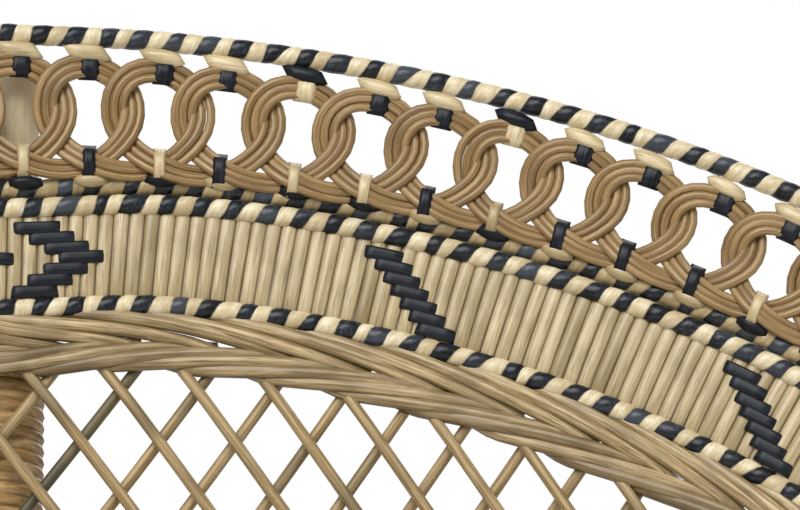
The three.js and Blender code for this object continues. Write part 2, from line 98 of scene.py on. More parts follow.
def unit(vectors):
    return vectors / np.linalg.norm(vectors, axis=-1, keepdims=True)


def bend_radius(height):
    """How tightly the wall is bent at a height, seen from above."""
    opening = eased_share((height - SEAT_LEVEL) / (FAN_LEVEL - SEAT_LEVEL))
    return 1 / ((1 - opening) / SEAT_RADIUS + opening / FAN_BEND)


def wall_point(turn, height):
    bend = bend_radius(height)
    middle = SEAT_RADIUS + math.tan(LEAN) * (height - SEAT_LEVEL)
    return np.stack([bend * np.sin(turn), middle - bend + bend * np.cos(turn), height + 0 * turn], axis=-1)


def wall_directions(turn, height):
    """The wall's steepness along a turn and up a height, and its outward direction."""
    small = 0.001
    along = (wall_point(turn + small, height) - wall_point(turn - small, height)) / (2 * small)
    rise = small * SEAT_LEVEL
    up = (wall_point(turn, height + rise) - wall_point(turn, height - rise)) / (2 * rise)
    outward = unit(np.cross(up, along))
    facing = outward[..., 0] * np.sin(turn) + outward[..., 1] * np.cos(turn)
    return along, up, outward * np.where(facing < 0, -1, 1)[..., None]


print("wall at the crown", np.round(wall_point(0.0, CROWN_LEVEL), 1))

# %% [markdown]
# ## The rim's line
# Seen from the front, the fan's top is half an ellipse. Its sides then run in towards the seat and sweep
# forward as arms. A smooth curve through chosen points gives the same line as the solids have, and it is
# cut into even steps of length, so that what is tied along it can be spaced by length.

# %% The rim's line, from the left arm over the crown to the right arm
OUTLINE_STEP = 5.0


def smooth_curve(points, steps):
    """A centripetal Catmull-Rom curve through points, as a dense list of points."""
    points = np.vstack([2 * points[0] - points[1], points, 2 * points[-1] - points[-2]])
    result = []
    for a, b, c, d in zip(points, points[1:], points[2:], points[3:]):
        t1 = max(np.linalg.norm(b - a), 1e-6) ** 0.5
        t2 = t1 + max(np.linalg.norm(c - b), 1e-6) ** 0.5
        t3 = t2 + max(np.linalg.norm(d - c), 1e-6) ** 0.5
        t = np.linspace(t1, t2, steps, endpoint=False)[:, None]

        def between(p, q, first, last):
            return p + (q - p) * (t - first) / (last - first)

        ab, bc, cd = between(a, b, 0, t1), between(b, c, t1, t2), between(c, d, t2, t3)
        result.append(between(between(ab, bc, 0, t2), between(bc, cd, t1, t3), t1, t2))
    return np.vstack(result + [points[-2:-1]])


def round_line(angle, radius, level):
    """Points in millimetres about the chair's upright axis."""
    return np.stack(np.broadcast_arrays(radius * np.cos(angle), radius * np.sin(angle), level), axis=-1)


def run_along(points):
    """The length from a line's start to each of its points."""
    return np.concatenate([[0], np.cumsum(np.linalg.norm(np.diff(points, axis=0), axis=1))])


def rim_controls():
    angle = np.linspace(0, math.pi / 2, 13)
    turns = list(np.arcsin(FAN_HALF_WIDTH * np.sin(angle) / FAN_BEND))
    heights = list(FAN_LEVEL + FAN_RISE * np.cos(angle))
    end_level = SEAT_LEVEL + SIDE_END_SHARE * (FAN_LEVEL - SEAT_LEVEL)
    drop = FAN_LEVEL - end_level
    narrowing = FAN_HALF_WIDTH - bend_radius(end_level) * math.sin(SIDE_END_TURN)
    slope = (drop - math.sqrt(drop * drop - 2 * SIDE_ROUND * narrowing)) / SIDE_ROUND
    for height in np.linspace(FAN_LEVEL, end_level, 9)[1:]:
        fall = FAN_LEVEL - height
        rounded = min(fall, SIDE_ROUND * slope)
        half_width = FAN_HALF_WIDTH - rounded ** 2 / (2 * SIDE_ROUND) - (fall - rounded) * slope
        turns.append(math.asin(half_width / bend_radius(height)))
        heights.append(height)
    for turn, share in ARM_SHARES:
        turns.append(math.radians(turn))
        heights.append(SEAT_LEVEL + share * (FAN_LEVEL - SEAT_LEVEL))
    return np.array(turns), np.array(heights)


control_turns, control_heights = rim_controls()
chart = smooth_curve(np.column_stack([control_turns, control_heights / FAN_LEVEL]), 100)
dense_run = run_along(wall_point(chart[:, 0], chart[:, 1] * FAN_LEVEL))
even_run = np.linspace(0, dense_run[-1], round(dense_run[-1] / OUTLINE_STEP) + 1)
right_turns = np.interp(even_run, dense_run, chart[:, 0])
right_heights = np.interp(even_run, dense_run, chart[:, 1] * FAN_LEVEL)
front_gap = (FRONT_ANGLE - right_turns) * bend_radius(right_heights) >= RIM_RADIUS + CLEARANCE
right_turns, right_heights = right_turns[front_gap], right_heights[front_gap]
rim_turns = np.concatenate([-right_turns[:0:-1], right_turns])
rim_heights = np.concatenate([right_heights[:0:-1], right_heights])
HALF_RUN = OUTLINE_STEP * (len(right_turns) - 1)
print("rim line", len(rim_turns), "points,", round(2 * HALF_RUN), "mm")

# %% [markdown]
# ## Bands at even depths below the rim
# Rings, slats and braids lie in bands side by side. To place them, each point of the rim sets off square to
# the rim and walks straight on over the wall in small steps. This grid turns two lengths, how far along the
# rim and how deep below it, into a place on the wall. The ring band is highest at the crown, and all that
# lies below it follows, which `settled` works out.

# %% The grid of depths
DEPTH_STEP, DEEPEST = 4.0, 172.0
TANGENT_REACH = 5


def walk_inwards(turns, heights):
    last = len(turns) - 1
    number = np.arange(last + 1)
    reach = np.maximum(np.minimum(TANGENT_REACH, np.minimum(number, last - number)), 1)
    points = wall_point(turns, heights)
    run = points[np.minimum(number + reach, last)] - points[np.maximum(number - reach, 0)]
    heading = unit(np.cross(wall_directions(turns, heights)[2], run))
    heading[last // 2, 0] = 0
    rows = [(points, wall_directions(turns, heights)[2], turns, heights)]
    for _ in range(int(DEEPEST / DEPTH_STEP)):
        along, up, _ = wall_directions(turns, heights)
        aa, au, uu = (np.sum(p * q, axis=1) for p, q in ((along, along), (along, up), (up, up)))
        da = np.sum(heading * along, axis=1) * DEPTH_STEP
        du = np.sum(heading * up, axis=1) * DEPTH_STEP
        turns = turns + (uu * da - au * du) / (aa * uu - au * au)
        heights = heights + (aa * du - au * da) / (aa * uu - au * au)
        outward = wall_directions(turns, heights)[2]
        heading = unit(heading - outward * np.sum(heading * outward, axis=1, keepdims=True))
        rows.append((wall_point(turns, heights), outward, turns, heights))
    return rows


rows = walk_inwards(rim_turns, rim_heights)
band_points = np.stack([row[0] for row in rows])
band_outward = np.stack([row[1] for row in rows])
band_chart = np.stack([np.column_stack([row[2] * bend_radius(row[3]), row[3]]) for row in rows])
rim_run = np.linspace(-HALF_RUN, HALF_RUN, len(rim_turns))


def settled(distance, inset):
    """The depth at which a band that is stated for the crown lies at a distance along the rim."""
    squeeze = RING_SQUEEZE * distance ** 2 / (distance ** 2 + SQUEEZE_REACH ** 2)
    return inset - squeeze * np.clip((inset - RING_INSET) / RING_HEIGHT, 0, 1)


def read_grid(values, distance, depth):
    column = np.clip((distance + HALF_RUN) / OUTLINE_STEP, 0, len(rim_run) - 1.001)
    row = np.clip(depth / DEPTH_STEP, 0, len(rows) - 1.001)
    i, j = column.astype(int), row.astype(int)
    x, y = (column - i)[..., None], (row - j)[..., None]
    near = values[j, i] * (1 - x) + values[j, i + 1] * x
    far = values[j + 1, i] * (1 - x) + values[j + 1, i + 1] * x
    return near * (1 - y) + far * y


def facing_out(distance, depth):
    """The direction out from the wall, away from the sitter, at a place of the back."""
    return unit(read_grid(band_outward, distance, depth))


def on_back(distance, depth, offset=0.0):
    """A place on the back: along the rim, below it, and out from the wall, away from the sitter."""
    distance, depth, offset = np.broadcast_arrays(distance, depth, np.asarray(offset, float))
    return read_grid(band_points, distance, depth) + facing_out(distance, depth) * offset[..., None]


def band_run(inset):
    """Lengths along a band, measured from the crown, at the rim line's own steps."""
    run = run_along(on_back(rim_run, settled(rim_run, inset)))
    return run - run[len(run) // 2]


print("ring band", round(np.ptp(band_run(RING_INSET + RING_HEIGHT / 2))), "mm along its middle")

# %% [markdown]
# ## One way to add nodes
# Materials and Geometry Nodes are both trees of nodes. One small function adds a node with its settings. It
# either links an input to another node or types its value in, and it gives back the node's first result.

# %% Adding a node
VECTOR_MATH, NOISE = "ShaderNodeVectorMath", "ShaderNodeTexNoise"
MIX, RANGE = "ShaderNodeMix", "ShaderNodeMapRange"
STORE, READ = "GeometryNodeStoreNamedAttribute", "GeometryNodeInputNamedAttribute"
ATTRIBUTE = "ShaderNodeAttribute"


def add_node(tree, kind, *inputs, **settings):
    """Inputs come in the order of the sockets, with None for one left alone, or by name in a dict.

    The kind is a type of node, or an operation in capitals, for a node that calculates with it.
    """
    if kind.isupper():
        kind, settings = "ShaderNodeMath", {"operation": kind}
    node = tree.nodes.new(kind)
    for name, value in settings.items():
        setattr(node, name, value)
    by_name = inputs[0] if inputs and isinstance(inputs[0], dict) else dict(enumerate(inputs))
    for name, value in by_name.items():
        if isinstance(value, bpy.types.NodeSocket):
            tree.links.new(value, node.inputs[name])
        elif value is not None:
            node.inputs[name].default_value = value
    return next((socket for socket in node.outputs if socket.enabled), None)


def new_tree(name, sizes):
    """An empty Geometry Nodes tree, the function that adds a node to it, and the sockets of its inputs."""
    tree = bpy.data.node_groups.new(name, "GeometryNodeTree")
    tree.interface.new_socket("Geometry", in_out="OUTPUT", socket_type="NodeSocketGeometry")
    tree.interface.new_socket("Geometry", in_out="INPUT", socket_type="NodeSocketGeometry")
    tree.interface.new_socket("Material", in_out="INPUT", socket_type="NodeSocketMaterial")
    for label, value in sizes.items():
        kind = "NodeSocketInt" if isinstance(value, int) else "NodeSocketFloat"
        tree.interface.new_socket(label, in_out="INPUT", socket_type=kind).default_value = value
    return tree, functools.partial(add_node, tree), tree.nodes.new("NodeGroupInput").outputs


def end_tree(tree, geometry, material):
    real = add_node(tree, "GeometryNodeRealizeInstances", geometry)
    add_node(tree, "NodeGroupOutput", add_node(tree, "GeometryNodeSetMaterial", real, None, material))
    print(tree.name, len(tree.nodes), "nodes")


# %% [markdown]
# ## Drawn lines
# A tree grows a piece from drawn lines. The lines are a mesh of bare edges. It carries values of its own at
# each point, such as the length along the line, and the trees and the materials read them.

# %% Lines as a mesh of edges


def carry(mesh, label, values):
    """Store one number or one direction for each point of a mesh, under a name that trees can read."""
    values = np.asarray(values, np.float32)
    kind, field = ("FLOAT_VECTOR", "vector") if values.ndim == 2 else ("FLOAT", "value")
    mesh.attributes.new(label, kind, "POINT").data.foreach_set(field, values.ravel())


def drawn(name, lines, tones=0.3, radii=1.0, outward=None):
    """Bare edges along lines in millimetres, with the values that the trees and the materials read.

    Tones and radii are one number, or one item for each line. A line's radius can change along its points.
    """
    points = np.vstack(lines)
    ends = np.cumsum([len(line) for line in lines])
    first = np.setdiff1d(np.arange(len(points)), ends - 1)
    mesh = bpy.data.meshes.new(name)
    mesh.vertices.add(len(points))
    mesh.vertices.foreach_set("co", ((points + [0, SEAT_MIDDLE_Y, 0]) * mm).ravel())
    mesh.edges.add(len(first))
    mesh.edges.foreach_set("vertices", np.column_stack([first, first + 1]).ravel())
    # Each line's length starts at another number, so no two canes have the same streaks.
    lengths = [run_along(line) * mm + 1.7 * (number % 17) for number, line in enumerate(lines)]
    for label, values in (("tone", tones), ("radius", radii), ("along", lengths)):
        values = values if isinstance(values, (list, np.ndarray)) else [values] * len(lines)
        values = [np.broadcast_to(value, len(line)) for value, line in zip(values, lines)]
        carry(mesh, label, np.concatenate(values))
    if outward is not None:
        carry(mesh, "outward", np.vstack(outward))
    return mesh


print("lines carry their length, tone and radius")

# %% [markdown]
# ## From drawn lines to a finished piece
# The tree's result is made a plain mesh at the origin, with its faces turned outwards. It then rides on the
# chair and stands for one or more of the solids.

# %% A finished piece


def face_outwards(mesh):
    mesh.calc_loop_triangles()
    corners = np.zeros(len(mesh.loop_triangles) * 3, np.int32)
    mesh.loop_triangles.foreach_get("vertices", corners)
    points = np.zeros(len(mesh.vertices) * 3)
    mesh.vertices.foreach_get("co", points)
    a, b, c = points.reshape(-1, 3)[corners.reshape(-1, 3)].transpose(1, 0, 2)
    if np.sum(np.cross(a, b) * c) < 0:
        mesh.flip_normals()
    return len(mesh.loop_triangles)


def grow(name, tree, mesh, values):
    """Run a tree on a mesh with its inputs set, and return the result as a plain mesh."""
    carrier = bpy.data.objects.new(name, mesh)
    bpy.context.scene.collection.objects.link(carrier)
    modifier = carrier.modifiers.new("Nodes", "NODES")
    modifier.node_group = tree
    sockets = {s.name: s.identifier for s in tree.interface.items_tree if s.in_out == "INPUT"}
    for label, value in values.items():
        modifier[sockets[label]] = value
    carrier.update_tag()
    depsgraph = bpy.context.evaluated_depsgraph_get()
    result = bpy.data.meshes.new_from_object(carrier.evaluated_get(depsgraph), depsgraph=depsgraph)
    bpy.data.objects.remove(carrier)
    return result


def finish_piece(name, mesh, replaced=()):
    """Put a mesh in the scene as a piece of the chair and in place of the named solids."""
    triangles = face_outwards(mesh)
    mesh.shade_smooth()
    mesh.name = name
    piece = bpy.data.objects.new(name, mesh)
    bpy.context.scene.collection.objects.link(piece)
    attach(piece, "root")
    if replaced:
        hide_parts(*replaced)
    print(f"{name}: {triangles} triangles")

# %% [markdown]
# ## Round cane from a line
# Rattan core and cane are drawn through dies, so they are round all along. A tree sweeps a circle along
# each line, thicker or thinner by the line's own radius. The circle carries its own shape along as `girth`,
# so that a material can lay fibres along the cane, whichever way it runs. Where canes lie side by side,
# `flank` tells how far a place is turned towards its neighbour, and the material paints shade there, in the
# crease between canes.

# %% A tree for round cane
cane_tree, add, start = new_tree("Round cane along lines", {"Sides": 8})
circle = add("GeometryNodeCurvePrimitiveCircle", {"Resolution": start["Sides"], "Radius": 1.0})
circle = add(STORE, circle, None, "girth", add("GeometryNodeInputPosition"), data_type="FLOAT_VECTOR")
tube = add("GeometryNodeCurveToMesh", {"Curve": add("GeometryNodeMeshToCurve", start["Geometry"]),
                                       "Profile Curve": circle, "Fill Caps": True,
                                       "Scale": add(READ, "radius")})
outward = add(READ, "outward", data_type="FLOAT_VECTOR")
facing = add(VECTOR_MATH, add("GeometryNodeInputNormal"), outward, operation="DOT_PRODUCT")
flank = add("SUBTRACT", add(VECTOR_MATH, outward, operation="LENGTH"), add("ABSOLUTE", facing))
tube = add(STORE, tube, None, "flank", flank)
end_tree(cane_tree, tube, start["Material"])


def cane_piece(name, lines, slot, replaced, sides, material, **values):
    """A piece of round cane along lines, in the place of the named solids."""
    mesh = grow(name, cane_tree, drawn(name, lines, **values), {"Sides": sides, "Material": material})
    finish_piece(name, mesh, replaced)


# %% [markdown]
# ## Flat peel from a line
# Peel is the cane's glossy skin, split off and shaved flat, so it has a flat underside and a slightly round
# top. The tree sweeps such a section along a line. The line's `outward` keeps the round side up, and its
# `radius` widens the peel. Here `flank` marks both edges of the top, where the material paints shade in the
# crease between neighbouring peels.

# %% A tree for flat peel
# Places across and above the underside, as shares of half the width and of the thickness.
PEEL_SECTION = [(-1.0, 0.0), (-0.96, 0.55), (-0.55, 0.9), (0.0, 1.0), (0.55, 0.9), (0.96, 0.55), (1.0, 0.0)]

peel_tree, add, start = new_tree("Flat peel along lines", {"Width": 0.006, "Thickness": 0.001})
section = add("GeometryNodeCurvePrimitiveCircle", {"Resolution": len(PEEL_SECTION), "Radius": 1.0})
table = add("GeometryNodeIndexSwitch", add("GeometryNodeInputIndex"), data_type="VECTOR").node
while len(table.index_switch_items) < len(PEEL_SECTION):
    table.index_switch_items.new()
for number, (x, y) in enumerate(PEEL_SECTION):
    table.inputs[number + 1].default_value = (y, x, 0)
across = table.outputs[0]
size = add("ShaderNodeCombineXYZ", start["Thickness"], add("MULTIPLY", start["Width"], 0.5))
shaped = add(VECTOR_MATH, across, size, operation="MULTIPLY")
section = add(STORE, section, None, "girth", across, data_type="FLOAT_VECTOR")
above, sideways, _ = add("ShaderNodeSeparateXYZ", across).node.outputs
# Painted shade along both edges of the top, where a peel meets its neighbour.
flank = add("MULTIPLY", add("POWER", add("ABSOLUTE", sideways), 8.0), add("GREATER_THAN", above, 0.1))
section = add(STORE, section, None, "flank", flank)
section = add("GeometryNodeSetPosition", section, None, shaped)
outward = add(READ, "outward", data_type="FLOAT_VECTOR")
curve = add("GeometryNodeSetCurveNormal", {"Curve": add("GeometryNodeMeshToCurve", start["Geometry"]),
                                           "Normal": outward}, mode="FREE")
band = add("GeometryNodeCurveToMesh", {"Curve": curve, "Profile Curve": section, "Fill Caps": True,
                                       "Scale": add(READ, "radius")})
end_tree(peel_tree, band, start["Material"])

# %% [markdown]
# ## Peel wound on a rod
# The rims are rods wound with two peels side by side, one dyed black and one left pale. Wound so, each
# strip is its own low bulge. The tree lays a grid of quads round the line, sheared by one turn's length, so
# that the rows of the grid run along the strips, and one round of the grid ends where the next begins. A
# hand pulls some turns tighter than others, so the strips cross the front more or less steeply. Beyond the
# rod's ends the radius drops to nothing, which closes them.

# %% A tree for wound peel
# Rows across one strip: the share of its width, and the height between its two edges and its middle.
STRIP_ROWS = [(0.0, -0.7), (0.1, 0.35), (0.5, 1.0), (0.9, 0.35)]
ROWS_IN_STRIP = len(STRIP_ROWS)

wound_tree, add, start = new_tree("Peel wound along a line", {
    "Radius": 0.0043, "Turn Length": 0.0145, "Bulge": 0.0003, "Unevenness": 0.0006, "Sides": 12})
turn_length = start["Turn Length"]
curve = add("GeometryNodeMeshToCurve", start["Geometry"])
full_length = add("GeometryNodeCurveLength", curve)
turns = add("ADD", add("CEIL", add("DIVIDE", full_length, turn_length)), 2.0)
row_count = add("MULTIPLY_ADD", turns, 2 * ROWS_IN_STRIP, 1)
column_count = add("ADD", start["Sides"], 1.0)
grid = add("GeometryNodeMeshGrid", {"Vertices X": row_count, "Vertices Y": column_count})

# Which row and column of the grid a point is in, and which strip that row belongs to.
index = add("GeometryNodeInputIndex")
row = add("FLOOR", add("DIVIDE", add("ADD", index, 0.5), column_count))
column = add("SUBTRACT", index, add("MULTIPLY", row, column_count))
strip_number = add("FLOOR", add("DIVIDE", add("ADD", row, 0.5), ROWS_IN_STRIP))
row_in_strip = add("SUBTRACT", row, add("MULTIPLY", strip_number, ROWS_IN_STRIP))
table = add("GeometryNodeIndexSwitch", row_in_strip, data_type="VECTOR").node
while len(table.index_switch_items) < ROWS_IN_STRIP:
    table.index_switch_items.new()
for number, (x, y) in enumerate(STRIP_ROWS):
    table.inputs[number + 1].default_value = (x, y, 0)
share_across, bulge_share, _ = add("ShaderNodeSeparateXYZ", table.outputs[0]).node.outputs
strip = add("ADD", strip_number, share_across)

# How far along the rod the point lies.
share_round = add("DIVIDE", column, start["Sides"])
angle = add("MULTIPLY", share_round, 2 * math.pi)
strip_run = add("MULTIPLY", strip, add("MULTIPLY", turn_length, 0.5))
run = add("SUBTRACT", add("MULTIPLY_ADD", share_round, turn_length, strip_run), turn_length)
pull = add(NOISE, {"W": strip_run, "Scale": 70.0}, noise_dimensions="1D")
pull = add("MULTIPLY_ADD", add("SUBTRACT", pull, 0.5), 2.2, 0.42)
pull = add("MULTIPLY", pull, add("SINE", angle))
run = add("MULTIPLY_ADD", pull, add("MULTIPLY", turn_length, 0.159), run)
wander = add(NOISE, {"W": run, "Scale": 61.0}, noise_dimensions="1D")
run = add("MULTIPLY_ADD", add("SUBTRACT", wander, 0.5), start["Unevenness"], run)

# The point's place: off the line by the rod's radius and the strip's bulge, or on it beyond the rod's ends.
outward = add(READ, "outward", data_type="FLOAT_VECTOR")
sample = add("GeometryNodeSampleCurve", {"Curves": curve, "Value": outward, "Length": run},
             mode="LENGTH", data_type="FLOAT_VECTOR").node.outputs
side = add(VECTOR_MATH, sample["Value"], sample["Tangent"], operation="CROSS_PRODUCT")
side = add(VECTOR_MATH, side, operation="NORMALIZE")
front = add(VECTOR_MATH, sample["Tangent"], side, operation="CROSS_PRODUCT")
radius = add("MULTIPLY_ADD", bulge_share, start["Bulge"], start["Radius"])
inside = add("MULTIPLY", add("GREATER_THAN", run, 0.0), add("LESS_THAN", run, full_length))
radius = add("MULTIPLY", radius, inside)
spot = sample["Position"]
for function, direction in (("COSINE", front), ("SINE", side)):
    reach = add("MULTIPLY", add(function, angle), radius)
    arm = add(VECTOR_MATH, {0: direction, "Scale": reach}, operation="SCALE")
    spot = add(VECTOR_MATH, spot, arm)

# The material reads the length round the rod, the strip with the share across it, and the share round.
girth_length = add("MULTIPLY", share_round, add("MULTIPLY", start["Radius"], 2 * math.pi))
weave = add("ShaderNodeCombineXYZ", girth_length, strip, share_round)
weave = add("GeometryNodeFieldOnDomain", weave, domain="POINT", data_type="FLOAT_VECTOR")
grid = add(STORE, grid, None, "weave", weave, data_type="FLOAT_VECTOR", domain="CORNER")
wound = add("GeometryNodeSetPosition", grid, None, spot)
closed = add("GeometryNodeMergeByDistance", {"Geometry": wound, "Distance": 0.00002})
end_tree(wound_tree, closed, start["Material"])

# %% [markdown]
# ## Colours and finishes
# Rattan has few colours: pale straw where the skin is kept, a warmer brown where the core is bare, and a
# blue-black where peel is dyed. Colours are written as in a paint chart and turned into light values by one
# function. Fibres run along each cane, so the streaks are stretched noise, laid along the cane by its own
# values.

# %% Rattan with streaks along the cane
# A mix of two colours has its share in input 0 and the colours in 6 and 7. A gentle range turns a value
# between two limits into a share, or into a value between the two limits that follow them.
COLOURS, GENTLE = {"data_type": "RGBA"}, {"interpolation_type": "SMOOTHSTEP"}


def paint(code):
    """A colour written as six hexadecimal digits, as linear light."""
    parts = [int(code[i:i + 2], 16) / 255 for i in (0, 2, 4)]
    return [p / 12.92 if p <= 0.04045 else ((p + 0.055) / 1.055) ** 2.4 for p in parts] + [1.0]


def finish_material(name, roughness, bump_height=0.0, gloss=0.5):
    """A new material, the function that adds a node to it, and one that plugs in a colour and a relief."""
    material = bpy.data.materials.new(name)
    material.use_nodes = True
    tree = material.node_tree
    add = functools.partial(add_node, tree)
    shader = tree.nodes["Principled BSDF"]
    shader.inputs["Roughness"].default_value = roughness
    shader.inputs["Specular IOR Level"].default_value = gloss

    def plug(colour, relief):
        tree.links.new(colour, shader.inputs["Base Color"])
        bump = add("ShaderNodeBump", {"Height": relief, "Strength": 0.5, "Distance": bump_height})
        tree.links.new(bump, shader.inputs["Normal"])

    return material, add, plug


def cane_material(name, dark, light, aged, roughness=0.5, gloss=0.5, grooves=0.4):
    """Cane with streaks and fine dark grooves along it, where each length has its own tone."""
    material, add, plug = finish_material(name, roughness, 0.0002, gloss)
    girth = add(ATTRIBUTE, attribute_name="girth").node.outputs["Vector"]
    along, tone, flank = (add(ATTRIBUTE, attribute_name=label).node.outputs["Fac"]
                          for label in ("along", "tone", "flank"))
    x, y, _ = add("ShaderNodeSeparateXYZ", girth).node.outputs
    place = add("ShaderNodeCombineXYZ", x, y, add("MULTIPLY", along, 12.0))
    fibres = add(NOISE, {"Vector": place, "Scale": 2.6, "Detail": 4.0, "Roughness": 0.65})
    patches = add(NOISE, {"W": along, "Scale": 23.0, "Detail": 2.0}, noise_dimensions="1D")
    fine = add(NOISE, {"Vector": place, "Scale": 7.5, "Detail": 2.0, "Roughness": 0.6})
    streaks = add(RANGE, fibres, 0.3, 0.7, **GENTLE)
    age = add("MULTIPLY", add(RANGE, patches, 0.42, 0.75, **GENTLE), 0.5)
    age = add("MULTIPLY_ADD", add(RANGE, tone, 0.35, 1.0, **GENTLE), 0.75, age)
    groove = add(RANGE, fine, 0.54, 0.7, 0.0, grooves, **GENTLE)
    # Painted shade in the creases, where the cane turns towards its neighbour.
    painted_shade = add(RANGE, flank, 0.35, 0.95, 0.0, 0.8, **GENTLE)
    colour = paint(dark)
    for share, over in ((streaks, light), (age, aged), (groove, "4a3a20"), (painted_shade, "1e170c")):
        colour = add(MIX, {0: share, 6: colour, 7: paint(over)}, **COLOURS)
    plug(colour, fibres)
    return material


print("straw in linear light", np.round(paint("cbb993"), 2))

# %% [markdown]
# ## The kinds of cane and peel
# Each material is a kind of rattan as a weaver buys it. They differ in how much of the skin is left, in age
# and in dye. The spine's pole has its colours painted brighter, to stand in for light.

# %% Materials of cane and peel
# Bare core of the rings and the plait: warm tan, a little greyer where it has aged.
ring_cane = cane_material("Rattan core, smoked tan", "76592f", "ad9063", "665035", 0.36)
# Stakes of the lattice and the base: thicker core, with a few olive lengths.
stake_cane = cane_material("Rattan core, lattice stakes", "7f663b", "b89f73", "4a462d")
# Core split and soaked for plaiting: the palest and most even of the canes.
braid_cane = cane_material("Rattan core, plaiting cane", "785f36", "cdb689", "6c5838", 0.38, grooves=0.75)
# Thick poles keep their skin: smooth, straw-coloured and somewhat glossy.
pole_cane = cane_material("Rattan pole with its skin", "cbab75", "ead3a4", "a98a58", 0.38)
# The spine's pole stands in shade behind the rings, so its colours are painted paler than the others.
brightened_pole = cane_material("Rattan pole, painted brighter", "ead5a8", "f8ecd0", "cdbb98", 0.4, grooves=0.15)
# Fine cane of the seat: pale, with light and dark rounds.
seat_cane = cane_material("Rattan cane of the seat", "b08d58", "d9bd89", "8f7242", 0.45)
# Flat natural peel: pale straw, glossy, here and there greenish or pinkish with age.
slat_peel = cane_material("Natural peel of the slats", "a38f68", "cbb993", "8c7a54", 0.34, grooves=0.6)
# The lashings' peel is younger than the slats, so its straw colour is a little warmer and lighter.
lashing_peel = cane_material("Natural peel of the lashings", "bda678", "e2d3ae", "99845a", 0.34)
# Peel dyed with black: its lighter streaks are fibres with a painted blue-grey sheen.
dyed_peel = cane_material("Dyed black peel", "06070a", "262b33", "1a1b1d", 0.36, 0.2, grooves=0.0)
print(len(bpy.data.materials), "materials so far")

# %% [markdown]
# ## Two peels wound side by side
# The wound rods show black and pale in turn. The grid's own values tell which strip a place belongs to, how
# far across the strip it lies and how far along the peel, so fibres follow each peel round the rod. The
# black peel is faded in places and carries painted blue-grey glints along its scratches, and the pale one
# has painted shade at its edges, where it meets the next strip.

# %% Black and natural peel in turn


def wound_material(name, dyed, natural, dusty):
    material, add, plug = finish_material(name, 0.32, 0.0003, 0.3)
    weave = add(ATTRIBUTE, attribute_name="weave").node.outputs["Vector"]
    girth_length, strip, _ = add("ShaderNodeSeparateXYZ", weave).node.outputs
    across = add("FRACT", strip)
    number = add("SUBTRACT", strip, across)
    is_dyed = add("LESS_THAN", add("MODULO", number, 2.0), 0.5)

    # Each strip has its own grain, streaked along the peel.
    own = add("MULTIPLY", number, 0.731)
    place = add("ShaderNodeCombineXYZ", add("MULTIPLY", girth_length, 40.0), across, own)
    fibres = add(NOISE, {"Vector": place, "Scale": 3.2, "Detail": 4.0, "Roughness": 0.7})
    scratches = add(NOISE, {"Vector": place, "Scale": 11.0, "Detail": 3.0, "Roughness": 0.8})
    long_way = add("MULTIPLY_ADD", girth_length, 9.0, own)
    lengths = add(NOISE, {"W": long_way, "Scale": 3.0, "Detail": 2.0}, noise_dimensions="1D")

    streaks = add(RANGE, fibres, 0.35, 0.68, **GENTLE)
    # Scratches on the black peel, with painted blue-grey glints along them.
    scratches_and_glints = add("MULTIPLY", add(RANGE, scratches, 0.56, 0.7, **GENTLE),
                 add(RANGE, lengths, 0.3, 0.7, **GENTLE))
    faded = add(RANGE, lengths, 0.52, 0.72, 0.0, 0.75, **GENTLE)
    age = add("MULTIPLY", add(RANGE, lengths, 0.45, 0.75, **GENTLE), 0.55)
    scratched = add(RANGE, scratches, 0.6, 0.72, 0.0, 0.6, **GENTLE)
    # Painted shade at both edges of a pale strip, where it meets the next strip.
    edge = add("ABSOLUTE", add("SUBTRACT", across, 0.5))
    painted_shade = add(RANGE, edge, 0.4, 0.5, 0.0, 0.55, **GENTLE)
    black, straw = paint(dyed[0]), paint(natural[0])
    for share, over in ((streaks, dyed[1]), (scratches_and_glints, "6f7680"), (faded, "454b53")):
        black = add(MIX, {0: share, 6: black, 7: paint(over)}, **COLOURS)
    for share, over in ((streaks, natural[1]), (age, dusty), (scratched, "8f7a52"), (painted_shade, "6d5a38")):
        straw = add(MIX, {0: share, 6: straw, 7: paint(over)}, **COLOURS)
    plug(add(MIX, {0: is_dyed, 6: straw, 7: black}, **COLOURS), fibres)
    return material


# The outer rim's peel, as it looks in full light, contrasts strongly.
rim_peel = wound_material("Black and natural peel, in full light", ("0a0c0f", "22272e"), ("c9b68c", "e6dcc0"),
                          "a9936a")
# The rod behind the rings lies in shade, so this copy of the peel is painted duller and darker.
shaded_peel = wound_material("Black and natural peel, painted shade", ("101113", "26282b"), ("9a8662", "b8a378"),
                             "6c5d41")
# Undyed cane wound round the pole: two canes of slightly different colour, side by side.
binding_cane = wound_material("Natural cane of the winding", ("86653a", "b3935f"), ("937346", "bd9f6e"),
                              "6f5632")
print(len(bpy.data.materials), "materials in all")

# %% [markdown]
# # The back
# ## Wound rims
# A rod is wound with black and natural peel before it is bent, so the strips are even on a straight run and
# open a little on the outside of a bend. The outer rim runs down the front of each arm and stands on the
# seat hoop. The other rims follow their bands. A drawn line and the wound peel tree give all of them.

# %% The lines of the rims
WALL_FOOT = SEAT_LEVEL + HOOP_RADIUS + CLEARANCE + RIM_RADIUS * math.sin(LEAN)


def outer_rim_line():
    arm_level = right_heights[-1]
    angle = np.linspace(0, math.pi / 2, 9)
    corner_heights = arm_level - CORNER_RADIUS * (1 - np.cos(angle))
    corner_turns = FRONT_ANGLE - CORNER_RADIUS * (1 - np.sin(angle)) / bend_radius(corner_heights)
    fall = np.linspace(arm_level - CORNER_RADIUS, WALL_FOOT, 40)[1:]
    kept = right_turns < corner_turns[0] - 0.01
    turns = np.concatenate([right_turns[kept], corner_turns, 0 * fall + FRONT_ANGLE])
    heights = np.concatenate([right_heights[kept], corner_heights, fall])
    turns = np.concatenate([-turns[:0:-1], turns])
    heights = np.concatenate([heights[:0:-1], heights])
    return wall_point(turns, heights), wall_directions(turns, heights)[2]


def band_line(inset, offset=0.0):
    depth = settled(rim_run, inset)
    return on_back(rim_run, depth, offset), facing_out(rim_run, depth)


